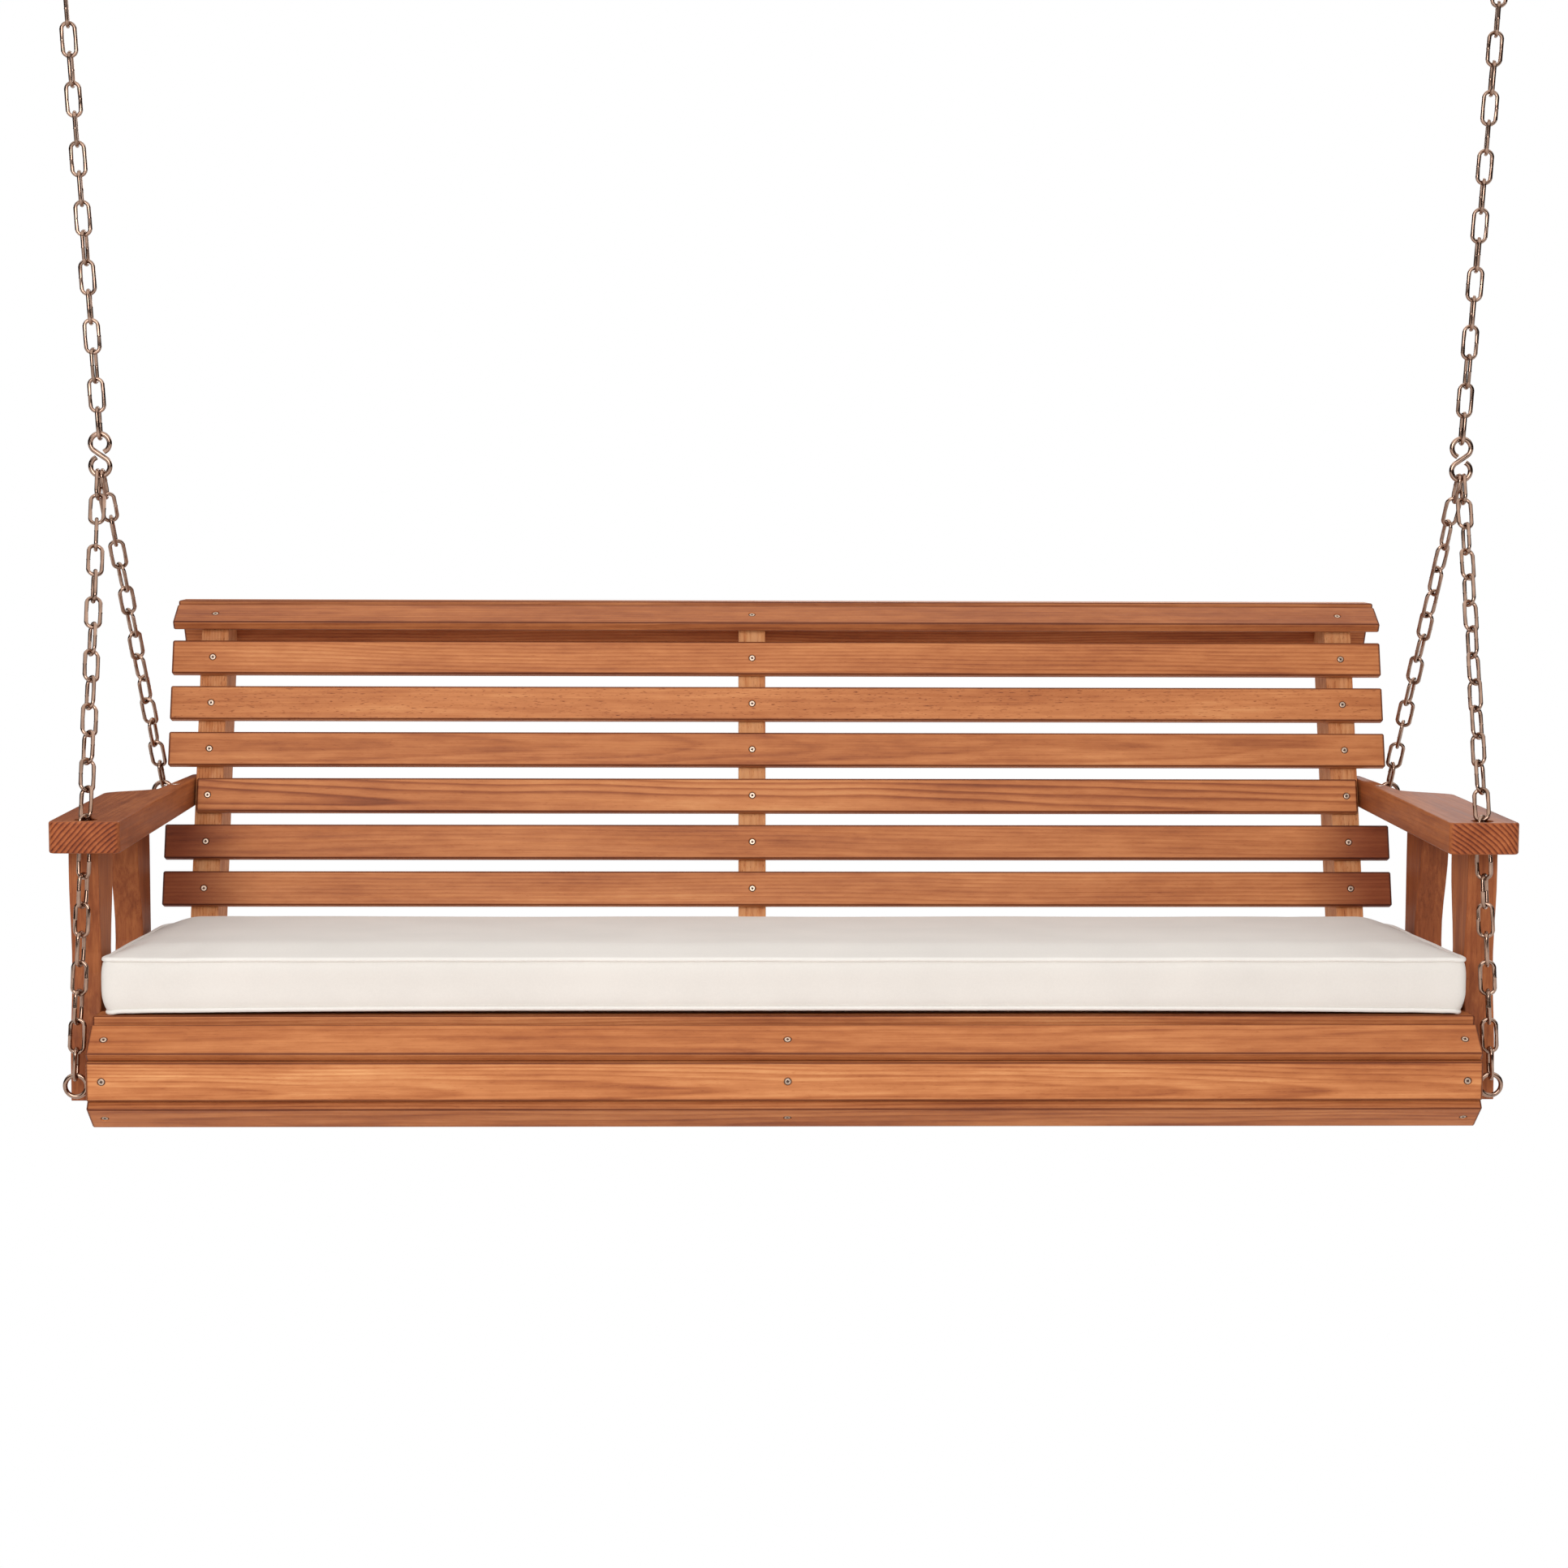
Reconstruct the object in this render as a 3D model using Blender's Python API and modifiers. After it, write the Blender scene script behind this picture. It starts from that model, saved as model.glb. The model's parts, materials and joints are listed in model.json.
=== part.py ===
"""Porch swing: a slatted softwood bench that hangs on four chains, with a box cushion on its seat.

Metres, +Z up, +X to the sitter's left hand seen from the front, +Y towards the backrest. The world
origin is midway between the two ceiling plates, on the ceiling. The bench is drawn in its own frame:
x = 0 at its middle, y = 0 at the front face of the front roll, z = 0 at the bottom of the roll.
Every outline below is in (y, z) of that frame unless it says otherwise.
"""

import math

import bmesh
import bpy
from mathutils import Matrix, Vector

# Bench as a whole
HALF_LENGTH = 0.862  # slat ends, flush with the outer faces of the end supports
CEILING_HEIGHT = 1.530  # ceiling above the bottom of the front roll
HANG_BACK = 0.3407  # the S-hooks hang this far behind the roll, over the bench's centre of mass
GAP = 0.0003  # between pieces that touch
PLANK = 0.038  # thickness of the structural boards

# Slats
SLAT_WIDTH = 0.049
SEAT_SLAT_THICK = 0.014
BACK_SLAT_THICK = 0.014
SLAT_ROUNDING = 0.0018
SEAT_SLAT_COUNT = 8
SEAT_SLAT_PITCH = 0.0568
SEAT_SLOPE = math.radians(2.8)  # the seat falls to the back
SEAT_FRONT = (0.049, 0.1350)  # top front edge of the first seat slat

# Front roll: the lower front edge of each slat and how far it leans back
ROLL_MIDDLE = (0.0, 0.0368)
ROLL_UPPER = (0.0, 0.0959)
ROLL_LOWER = (0.0380, -0.0041)
ROLL_UPPER_LEAN = math.radians(51.4)
ROLL_LOWER_LEAN = math.radians(-51.1)

# Backrest, drawn along its own slope: u runs up it from BACK_BASE, v runs through it to the rear
BACK_BASE = (0.528, 0.229)
BACK_LEAN = math.radians(18.3)
BACK_SLAT_PITCH = 0.0668
BACK_SLAT_ROWS = 6
SHORT_ROW = 2  # the row between the arms, counted from the lowest
SHORT_HALF_LENGTH = 0.820
UPRIGHT_DEPTH = 0.080
UPRIGHT_FOOT = 0.030  # height of its lower end
LAG_PLACES = [(0.512, 0.052), (0.540, 0.080)]  # two lag screws through each upright into its support
LAG_RADIUS = 0.004
LAG_HEAD = 0.0075
LAG_LENGTH = 0.062

# Top roll: three more slats, over the tops of the uprights and down behind them
TOP_FRONT = (0.641, 0.5955)
TOP_FRONT_LEAN = math.radians(62)
TOP_FLAT = (0.692, 0.6235)
TOP_REAR = (0.7320, 0.6055)
TOP_REAR_LEAN = math.radians(150)

# Arms and their posts, on the outer faces of the end supports
ARM_TOP = 0.378
ARM_THICK = 0.040
ARM_INNER = 0.8242
ARM_OUTER = 0.912
ARM_FRONT = 0.045
ARM_SHOULDER = (0.380, 0.442)  # the outer edge runs in over this stretch
ARM_TAIL_OUTER = 0.850
ARM_TAIL_END = (0.838, 0.640)
ARM_CORNER = 0.007
CHAIN_HOLE = (0.869, 0.066)
CHAIN_HOLE_RADIUS = 0.0140
CHAIN_BEND_ABOVE_ARM = 0.003  # the front chain leans back from here, against the hole's rim
TAIL_SCREW = (0.836, 0.499)
POST_INNER = 0.8624
POST_THICK = 0.0372
POST_FOOT = 0.019
POST_WAIST = 0.190  # height of the narrowest place
POST_WAVE = 0.240  # height over which a post is waisted
FRONT_POST = {"front": (0.090, 0.103), "rear": (0.186, 0.194), "waist": (0.014, 0.017)}
REAR_POST = {"front": (0.360, 0.355), "rear": (0.445, 0.445), "waist": (0.026, 0.002)}

# Chains
WIRE = 0.0022  # half the side of a link's square section
LINK_WIDTH = 0.0180  # between the centres of a link's two sides
FUSE = 0.0004  # overlap that joins the links of one run into one body
HOOK_CLEARANCE = 0.0017  # between the end of a run and the wire it hangs on
UPPER_LINKS = 17
FRONT_LINKS_BELOW_ARM = 9
FRONT_LINKS_ABOVE_ARM = 13
REAR_LINKS = 14
HOOK_WIRE = 0.00325
HOOK_RADIUS = 0.0125
HOOK_SPREAD = 0.0150  # each loop's centre from the middle of the hook
HOOK_X = 0.8985
HOOK_HEIGHT = 0.829
BRIDLE_SPREAD = 0.0027  # the two lower chains sit side by side in the hook
EYE_WIRE = 0.0030
EYE_RADIUS = 0.0135
FRONT_EYE = (0.886, 0.058, 0.045)
REAR_EYE = (0.874, 0.612, 0.356)
SHANK_PAST_NUT = 0.012
CEILING_X = 0.9357
PLATE = (0.100, 0.050, 0.005)
PLATE_HOLE_X = 0.036
PLATE_HOLE_RADIUS = 0.0035
BAIL_WIRE = 0.0040
BAIL_RADIUS = 0.0150
BAIL_DROP = 0.040  # ceiling to the centre of the bail's wire

# Cushion
CUSHION_HALF_LENGTH = 0.852
CUSHION_FRONT = 0.048
CUSHION_DEPTH = 0.450
CUSHION_THICK = 0.073
CUSHION_ROUNDING = 0.012


def clear_scene():
    for old in list(bpy.data.objects):
        bpy.data.objects.remove(old, do_unlink=True)


def new_collection(name):
    collection = bpy.data.collections.new(name)
    bpy.context.scene.collection.children.link(collection)
    return collection


def new_material(name, colour, roughness, metallic=0.0):
    material = bpy.data.materials.new(name)
    material.use_nodes = True
    shader = material.node_tree.nodes["Principled BSDF"]
    shader.inputs["Base Color"].default_value = (*colour, 1.0)
    shader.inputs["Roughness"].default_value = roughness
    shader.inputs["Metallic"].default_value = metallic
    return material


def new_empty(name, location, parent=None):
    empty = bpy.data.objects.new(name, None)
    empty.location = location
    empty.parent = parent
    PARTS.objects.link(empty)
    return empty


def new_part(name, data, parent, material):
    """Puts a mesh or curve in the collection as the node called name."""
    part = bpy.data.objects.new(name, data)
    part.parent = parent
    data.materials.clear()
    data.materials.append(material)
    PARTS.objects.link(part)
    return part


def mesh_from(bm, name):
    mesh = bpy.data.meshes.new(name)
    bm.to_mesh(mesh)
    bm.free()
    return mesh


def solid_mesh(source):
    """A curve, or a mesh with its modifiers, made one welded mesh; the source object is removed."""
    bpy.context.view_layer.update()
    graph = bpy.context.evaluated_depsgraph_get()
    mesh = bpy.data.meshes.new_from_object(source.evaluated_get(graph))
    bm = bmesh.new()
    bm.from_mesh(mesh)
    bmesh.ops.remove_doubles(bm, verts=bm.verts, dist=1e-6)
    bm.to_mesh(mesh)
    bm.free()
    bpy.data.objects.remove(source, do_unlink=True)
    return mesh


def box_mesh(name, size):
    bm = bmesh.new()
    bmesh.ops.create_cube(bm, size=1.0, matrix=Matrix.Diagonal((*size, 1.0)))
    return mesh_from(bm, name)


def rod_mesh(name, radius, length, sides):
    """A cylinder along X, from x = 0 to x = length."""
    bm = bmesh.new()
    lay_down = Matrix.Translation((length / 2, 0, 0)) @ Matrix.Rotation(math.pi / 2, 4, "Y")
    bmesh.ops.create_cone(
        bm, cap_ends=True, segments=sides, radius1=radius, radius2=radius, depth=length, matrix=lay_down
    )
    return mesh_from(bm, name)


def round_edges(part, width, segments=1):
    bevel = part.modifiers.new("rounded edges", "BEVEL")
    bevel.width = width
    bevel.segments = segments
    bevel.limit_method = "ANGLE"


def boolean(part, other, operation="DIFFERENCE"):
    modifier = part.modifiers.new(operation.lower(), "BOOLEAN")
    modifier.operation = operation
    modifier.object = other


def new_cutter(name, mesh, parent, location):
    cutter = bpy.data.objects.new(name, mesh)
    cutter.parent = parent
    cutter.location = location
    cutter.hide_render = True
    cutter.display_type = "WIRE"
    CUTTERS.objects.link(cutter)
    return cutter


def drill(part, parent, location, radius, direction="X", depth=0.12, sides=16):
    """Cuts a round hole through part, centred on location, along X or Z."""
    mesh = rod_mesh("drill", radius, depth, sides)
    to_centre = Matrix.Translation((-depth / 2, 0, 0))
    turn = Matrix.Rotation(math.pi / 2, 4, "Y") if direction == "Z" else Matrix.Identity(4)
    mesh.transform(turn @ to_centre)
    boolean(part, new_cutter(part.name + "_hole", mesh, parent, location))


def plate_from_outline(name, outline, thickness, parent, material, rotation):
    """A flat board: a closed outline in its own plane, extruded and made a mesh that takes holes."""
    curve = bpy.data.curves.new(name, "CURVE")
    curve.dimensions = "2D"
    curve.fill_mode = "BOTH"
    curve.extrude = thickness / 2
    spline = curve.splines.new("POLY")
    spline.points.add(len(outline) - 1)
    for point, (across, up) in zip(spline.points, outline):
        point.co = (across, up, 0, 1)
    spline.use_cyclic_u = True
    guide = bpy.data.objects.new(name + "_outline", curve)
    PARTS.objects.link(guide)
    board = new_part(name, solid_mesh(guide), parent, material)
    board.rotation_euler = rotation
    return board


def side_board(name, outline, inner_x, outer_x, parent, material):
    """A board on edge: an outline in (y, z), between two x planes."""
    thickness = abs(outer_x - inner_x)
    board = plate_from_outline(name, outline, thickness, parent, material, (math.pi / 2, 0, math.pi / 2))
    board.location.x = (inner_x + outer_x) / 2
    return board


def slat(name, edge, lean, thickness, half_length, parent, width=SLAT_WIDTH):
    """A slat along X: edge is its lower front edge in (y, z), lean is its angle back from upright."""
    part = new_part(name, box_mesh(name, (2 * half_length, thickness, width)), parent, WOOD)
    part.location.y = edge[0] + width / 2 * math.sin(lean) + thickness / 2 * math.cos(lean)
    part.location.z = edge[1] + width / 2 * math.cos(lean) - thickness / 2 * math.sin(lean)
    part.rotation_euler.x = -lean
    round_edges(part, SLAT_ROUNDING)
    return part


def on_back(v, u):
    """Backrest coordinates to bench (y, z)."""
    y = BACK_BASE[0] + v * math.cos(BACK_LEAN) + u * math.sin(BACK_LEAN)
    z = BACK_BASE[1] - v * math.sin(BACK_LEAN) + u * math.cos(BACK_LEAN)
    return (y, z)


def behind(edge, lean, along, thickness):
    """A point on the back of a slat, along from its lower edge and clear of it by GAP."""
    depth = thickness + GAP
    y = edge[0] + along * math.sin(lean) + depth * math.cos(lean)
    z = edge[1] + along * math.cos(lean) - depth * math.sin(lean)
    return (y, z)


def arc(centre, radius, start, end, steps):
    """Points on an arc in degrees, both ends included."""
    angles = [math.radians(start + (end - start) * i / steps) for i in range(steps + 1)]
    return [(centre[0] + radius * math.cos(a), centre[1] + radius * math.sin(a)) for a in angles]


def seat_top(y):
    """Height of the supports' upper edge, under the seat slats."""
    return SEAT_FRONT[1] - SEAT_SLAT_THICK - GAP - (y - SEAT_FRONT[0]) * math.tan(SEAT_SLOPE)


def make_supports(bench):
    """Three boards on edge under the seat; the nose carries the roll."""
    middle = ROLL_MIDDLE[0] + SEAT_SLAT_THICK + GAP

    def nose_corner(edge, lean):
        """Where the back of a leaning roll slat meets the back of the middle one."""
        along = (middle - behind(edge, lean, 0, SEAT_SLAT_THICK)[0]) / math.sin(lean)
        return behind(edge, lean, along, SEAT_SLAT_THICK)

    nose_top = behind(ROLL_UPPER, ROLL_UPPER_LEAN, SLAT_WIDTH, SEAT_SLAT_THICK)
    nose_foot = behind(ROLL_LOWER, ROLL_LOWER_LEAN, 0, SEAT_SLAT_THICK)
    outline = [
        nose_foot,
        nose_corner(ROLL_LOWER, ROLL_LOWER_LEAN),
        nose_corner(ROLL_UPPER, ROLL_UPPER_LEAN),
        nose_top,
        (nose_top[0] + 0.003, seat_top(nose_top[0] + 0.003)),
        (0.575, seat_top(0.575)),
        (0.590, seat_top(0.590) - 0.012),
        (0.590, 0.036),
        (0.582, 0.028),
        (0.120, 0.028),
        (0.092, 0.023),
        (0.066, 0.0085),
    ]
    centres = {"left": -HALF_LENGTH + PLANK / 2, "centre": 0.0, "right": HALF_LENGTH - PLANK / 2}
    for side, x in centres.items():
        board = side_board("seat_support_" + side, outline, x - PLANK / 2, x + PLANK / 2, bench, WOOD)
        if side != "centre":
            drill(board, bench, (x, FRONT_EYE[1], FRONT_EYE[2]), EYE_WIRE + 0.0006)
        way = 1 if side == "left" else -1
        for y, z in LAG_PLACES:
            drill(board, bench, (x + way * 0.014, y, z), LAG_RADIUS + 0.0005, depth=0.040)


def make_uprights(bench):
    """Three boards on edge, lag-screwed to the sides of the supports."""
    front = BACK_SLAT_THICK + GAP
    rear = front + UPRIGHT_DEPTH

    def foot(v):
        return (UPRIGHT_FOOT - BACK_BASE[1] + v * math.sin(BACK_LEAN)) / math.cos(BACK_LEAN)

    def meets(v, edge, lean):
        """Where a line up the upright at depth v meets the back of a slat of the top roll."""
        start = behind(edge, lean, 0, BACK_SLAT_THICK)
        below = on_back(v, 0)
        gap_y, gap_z = start[0] - below[0], start[1] - below[1]
        turn = lean - BACK_LEAN
        along = (gap_z * math.sin(BACK_LEAN) - gap_y * math.cos(BACK_LEAN)) / math.sin(turn)
        return behind(edge, lean, along, BACK_SLAT_THICK)

    flat_bottom = TOP_FLAT[1] - BACK_SLAT_THICK - GAP
    outline = [
        on_back(front, foot(front)),
        meets(front, TOP_FRONT, TOP_FRONT_LEAN),
        behind(TOP_FRONT, TOP_FRONT_LEAN, SLAT_WIDTH, BACK_SLAT_THICK),
        (TOP_FLAT[0], flat_bottom),
        (TOP_REAR[0] - 0.016, flat_bottom),
        behind(TOP_REAR, TOP_REAR_LEAN, 0, BACK_SLAT_THICK),
        meets(rear, TOP_REAR, TOP_REAR_LEAN),
        on_back(rear, foot(rear)),
    ]
    outline.reverse()
    side_of_support = HALF_LENGTH - PLANK - GAP
    low_faces = {
        "left": -side_of_support,
        "centre": -PLANK / 2 - GAP - PLANK,
        "right": side_of_support - PLANK,
    }
    for side, low_x in low_faces.items():
        board = side_board("back_upright_" + side, outline, low_x, low_x + PLANK, bench, UPRIGHT_WOOD)
        for y, z in LAG_PLACES:
            drill(board, bench, (low_x + PLANK / 2, y, z), LAG_RADIUS + 0.0005)
        if side != "centre":
            drill(board, bench, (low_x + PLANK / 2, REAR_EYE[1], REAR_EYE[2]), EYE_WIRE + 0.0006)
        make_lags(side, low_x, bench)


def make_lags(side, low_x, bench):
    """Two hex lag screws through each upright into its support."""
    towards = 1 if side in ("right", "centre") else -1
    head_x = low_x - GAP if towards > 0 else low_x + PLANK + GAP
    for number, (y, z) in enumerate(LAG_PLACES, start=1):
        name = f"upright_lag_screw_{side}_{number}"
        bm = bmesh.new()
        turn = Matrix.Rotation(math.pi / 2, 4, "Y")
        head = Matrix.Translation((-0.0026, 0, 0)) @ turn
        shank = Matrix.Translation((LAG_LENGTH / 2 - 0.001, 0, 0)) @ turn
        bmesh.ops.create_cone(
            bm, cap_ends=True, segments=6, radius1=LAG_HEAD, radius2=LAG_HEAD, depth=0.0052, matrix=head
        )
        rod = bmesh.new()
        bmesh.ops.create_cone(
            rod,
            cap_ends=True,
            segments=8,
            radius1=LAG_RADIUS,
            radius2=LAG_RADIUS * 0.7,
            depth=LAG_LENGTH,
            matrix=shank,
        )
        part = joined(name, mesh_from(bm, name), mesh_from(rod, name), bench, STEEL)
        part.location = (head_x, y, z)
        part.rotation_euler.z = 0 if towards > 0 else math.pi


def joined(name, first, second, parent, material):
    """The union of two meshes as one part."""
    helper = bpy.data.objects.new(name + "_helper", second)
    source = bpy.data.objects.new(name + "_source", first)
    for item in (helper, source):
        PARTS.objects.link(item)
    boolean(source, helper, "UNION")
    mesh = solid_mesh(source)
    bpy.data.objects.remove(helper, do_unlink=True)
    return new_part(name, mesh, parent, material)


def make_slats(bench):
    """Front roll, seat and backrest, all screwed on through their faces."""
    slat("roll_slat_middle", ROLL_MIDDLE, 0, SEAT_SLAT_THICK, HALF_LENGTH, bench)
    slat("roll_slat_upper", ROLL_UPPER, ROLL_UPPER_LEAN, SEAT_SLAT_THICK, HALF_LENGTH, bench)
    slat("roll_slat_lower", ROLL_LOWER, ROLL_LOWER_LEAN, SEAT_SLAT_THICK, HALF_LENGTH, bench)
    flat = math.pi / 2 + SEAT_SLOPE
    for row in range(SEAT_SLAT_COUNT):
        along = row * SEAT_SLAT_PITCH
        edge = (SEAT_FRONT[0] + along, SEAT_FRONT[1] - along * math.tan(SEAT_SLOPE))
        slat(f"seat_slat_{row + 1}", edge, flat, SEAT_SLAT_THICK, HALF_LENGTH, bench)
    for row in range(BACK_SLAT_ROWS):
        low = row * BACK_SLAT_PITCH - SLAT_WIDTH / 2
        half = SHORT_HALF_LENGTH if row == SHORT_ROW else HALF_LENGTH
        slat(f"back_slat_{row + 1}", on_back(0, low), BACK_LEAN, BACK_SLAT_THICK, half, bench)
    over_the_top = {
        "top_slat_front": (TOP_FRONT, TOP_FRONT_LEAN),
        "top_slat_flat": (TOP_FLAT, math.pi / 2),
        "top_slat_rear": (TOP_REAR, TOP_REAR_LEAN),
    }
    for name, (edge, lean) in over_the_top.items():
        slat(name, edge, lean, BACK_SLAT_THICK, HALF_LENGTH, bench)


def arm_outline():
    """Plan of the right arm in (x, y): wide in front, then cut in so that the rear chain runs clear."""
    r = ARM_CORNER
    points = arc((ARM_INNER + r, ARM_FRONT + r), r, 180, 270, 3)
    points += arc((ARM_OUTER - r, ARM_FRONT + r), r, 270, 360, 3)
    start, end = ARM_SHOULDER
    for i in range(9):
        t = i / 8
        ease = (1 - math.cos(math.pi * t)) / 2
        points.append((ARM_OUTER + (ARM_TAIL_OUTER - ARM_OUTER) * ease, start + (end - start) * t))
    tail_x, tail_y = ARM_TAIL_END
    points += arc((tail_x - 0.008, tail_y - 0.008), 0.008, 0, 90, 3)
    points.append((ARM_INNER, tail_y))
    return points


def post_outline(shape):
    """A post's outline in (y, z), waisted in the middle of its height."""
    top = ARM_TOP - ARM_THICK - GAP
    steps = 12

    def edge(side, sign):
        low, high = shape[side]
        depth = shape["waist"][0 if side == "front" else 1]
        points = []
        for i in range(steps + 1):
            z = POST_FOOT + (top - POST_FOOT) * i / steps
            line = low + (high - low) * i / steps
            from_waist = min(abs(z - POST_WAIST) / (POST_WAVE / 2), 1.0)
            points.append((line + sign * depth * (1 + math.cos(math.pi * from_waist)) / 2, z))
        return points

    return edge("rear", -1) + edge("front", 1)[::-1]


def make_arms(bench):
    """Two arms, each on two waisted posts bolted outside the end supports."""
    for side, sign in (("left", -1), ("right", 1)):
        outline = [(sign * x, y) for x, y in arm_outline()]
        if sign < 0:
            outline.reverse()
        arm = plate_from_outline("arm_" + side, outline, ARM_THICK, bench, WOOD, (0, 0, 0))
        arm.location.z = ARM_TOP - ARM_THICK / 2
        drill(arm, bench, (sign * CHAIN_HOLE[0], CHAIN_HOLE[1], arm.location.z), CHAIN_HOLE_RADIUS, "Z")
        drill(arm, bench, (sign * ARM_INNER, REAR_EYE[1], REAR_EYE[2]), EYE_WIRE + 0.0006)
        drill(arm, bench, (sign * TAIL_SCREW[0], TAIL_SCREW[1], ARM_TOP), 0.0068, "Z", depth=0.050)
        round_edges(arm, 0.002)
        for place, shape in (("front", FRONT_POST), ("rear", REAR_POST)):
            xs = sorted((sign * POST_INNER, sign * (POST_INNER + POST_THICK)))
            side_board(f"{place}_post_{side}", post_outline(shape), xs[0], xs[1], bench, WOOD)
        make_tail_screw(side, sign, bench)


def make_tail_screw(side, sign, bench):
    """The big flat-headed screw let into the top of the arm's tail."""
    bm = bmesh.new()
    bmesh.ops.create_cone(
        bm, cap_ends=True, segments=16, radius1=0.0045, radius2=0.0064, depth=0.023,
        matrix=Matrix.Translation((0, 0, -0.0115 + 0.0004)),
    )
    name = "arm_tail_screw_" + side
    part = new_part(name, mesh_from(bm, name), bench, STEEL)
    part.location = (sign * TAIL_SCREW[0], TAIL_SCREW[1], ARM_TOP)


def make_eye_bolts(bench):
    """An eye outside each end for each lower chain, with a nut on the far side of the wood."""
    front_shank = FRONT_EYE[0] - (HALF_LENGTH - PLANK)
    rear_shank = REAR_EYE[0] - (HALF_LENGTH - 2 * PLANK - GAP)
    for place, eye, grip in (("front", FRONT_EYE, front_shank), ("rear", REAR_EYE, rear_shank)):
        for side, sign in (("left", -1), ("right", 1)):
            name = f"eye_bolt_{place}_{side}"
            bpy.ops.mesh.primitive_torus_add(
                major_radius=EYE_RADIUS, minor_radius=EYE_WIRE, major_segments=16, minor_segments=6,
                location=(0, 0, 0), rotation=(0, 0, 0),
            )
            ring = bpy.context.object
            ring.data.transform(Matrix.Rotation(math.pi / 2, 4, "X"))
            ring_mesh = ring.data.copy()
            bpy.data.objects.remove(ring, do_unlink=True)
            shank = rod_mesh(name, EYE_WIRE, grip + SHANK_PAST_NUT - EYE_RADIUS, 8)
            shank.transform(Matrix.Translation((EYE_RADIUS, 0, 0)))
            bolt = joined(name, ring_mesh, shank, bench, STEEL)
            bolt.location = (sign * eye[0], eye[1], eye[2])
            bolt.rotation_euler.z = 0 if sign < 0 else math.pi
            make_nut(f"eye_bolt_nut_{place}_{side}", sign, eye, grip, bench)


def make_nut(name, sign, eye, grip, bench):
    nut = new_part(name, rod_mesh(name, 0.0078, 0.0052, 6), bench, STEEL)
    nut.location = (sign * (eye[0] - grip - GAP), eye[1], eye[2])
    nut.rotation_euler.z = 0 if sign < 0 else math.pi
    drill(nut, bench, nut.location.copy(), EYE_WIRE + 0.0004)


def link_mesh():
    """One link before it is drawn out: an eight-sided ring of square section in the XY plane."""
    bm = bmesh.new()
    mitre = 1 / math.cos(math.pi / 8)
    upright = Matrix.Rotation(math.pi / 2, 4, "X") @ Matrix.Rotation(math.pi / 4, 4, "Z")
    place = Matrix.Translation((LINK_WIDTH / 2 * mitre, 0, 0)) @ Matrix.Diagonal((mitre, 1, 1, 1))
    bmesh.ops.create_circle(bm, segments=4, radius=WIRE * math.sqrt(2), matrix=place @ upright)
    outline = bm.verts[:] + bm.edges[:]
    bmesh.ops.spin(bm, geom=outline, axis=(0, 0, 1), angle=2 * math.pi, steps=8, use_merge=True)
    bmesh.ops.rotate(bm, verts=bm.verts[:], matrix=Matrix.Rotation(math.pi / 8, 3, "Z"))
    bmesh.ops.recalc_face_normals(bm, faces=bm.faces[:])
    return mesh_from(bm, "link")


def link_set(name, links):
    """These links as one mesh. Each is given by the centres of its two ends and its turn about them."""
    ring = link_mesh()
    bm = bmesh.new()
    for start, end, turn in links:
        first = len(bm.verts)
        bm.from_mesh(ring)
        along = (end - start).normalized()
        across = Vector((0, 1, 0))
        across = (across - along * across.dot(along)).normalized()
        across = Matrix.Rotation(turn, 3, along) @ across
        axes = Matrix((across, along, across.cross(along))).transposed()
        place = Matrix.Translation((start + end) / 2) @ axes.to_4x4()
        stretch = (end - start).length / 2 - LINK_WIDTH / 2
        for vert in bm.verts[first:]:
            vert.co.y += math.copysign(stretch, vert.co.y)
            vert.co = place @ vert.co
    return mesh_from(bm, name)


def chain(name, stops, counts, parent, origin):
    """A run of linked rings through the stops, with counts[i] links between stops i and i + 1.

    The first and last stop are the centres of the wire at the ends of the run, where the link lies in
    the YZ plane. Neighbours stand nearly square to each other and overlap by FUSE, which makes the
    run one body.
    """
    gaps = sum(counts) - 1
    turn_step = math.pi * round(gaps / 2) / gaps
    links = []
    for first, last, count in zip(stops, stops[1:], counts):
        step = (last - first) / count
        reach = step.normalized() * (WIRE - FUSE / 2)
        for i in range(count):
            low, high = first + step * i, first + step * (i + 1)
            if i > 0 or first != stops[0]:
                low = low - reach
            if i < count - 1 or last != stops[-1]:
                high = high + reach
            links.append((low - origin, high - origin, turn_step * len(links)))
    return joined(name, link_set(name, links[0::2]), link_set(name, links[1::2]), parent, STEEL)


def s_hook(name, sign, parent, origin):
    """An open S of thick wire: its upper loop takes the ceiling chain, its lower loop the other two."""
    upper = arc((0, HOOK_SPREAD), HOOK_RADIUS, -35, 245, 10)
    lower = arc((0, -HOOK_SPREAD), HOOK_RADIUS, 65, -215, 10)
    curve = bpy.data.curves.new(name, "CURVE")
    curve.dimensions = "3D"
    curve.bevel_depth = HOOK_WIRE
    curve.bevel_resolution = 1
    curve.use_fill_caps = True
    spline = curve.splines.new("POLY")
    points = upper + lower
    spline.points.add(len(points) - 1)
    for target, (x, z) in zip(spline.points, points):
        target.co = (-sign * x, 0, z, 1)
    hook = new_part(name, curve, parent, STEEL)
    hook.location = Vector((sign * HOOK_X, HANG_BACK, HOOK_HEIGHT)) - origin


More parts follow.
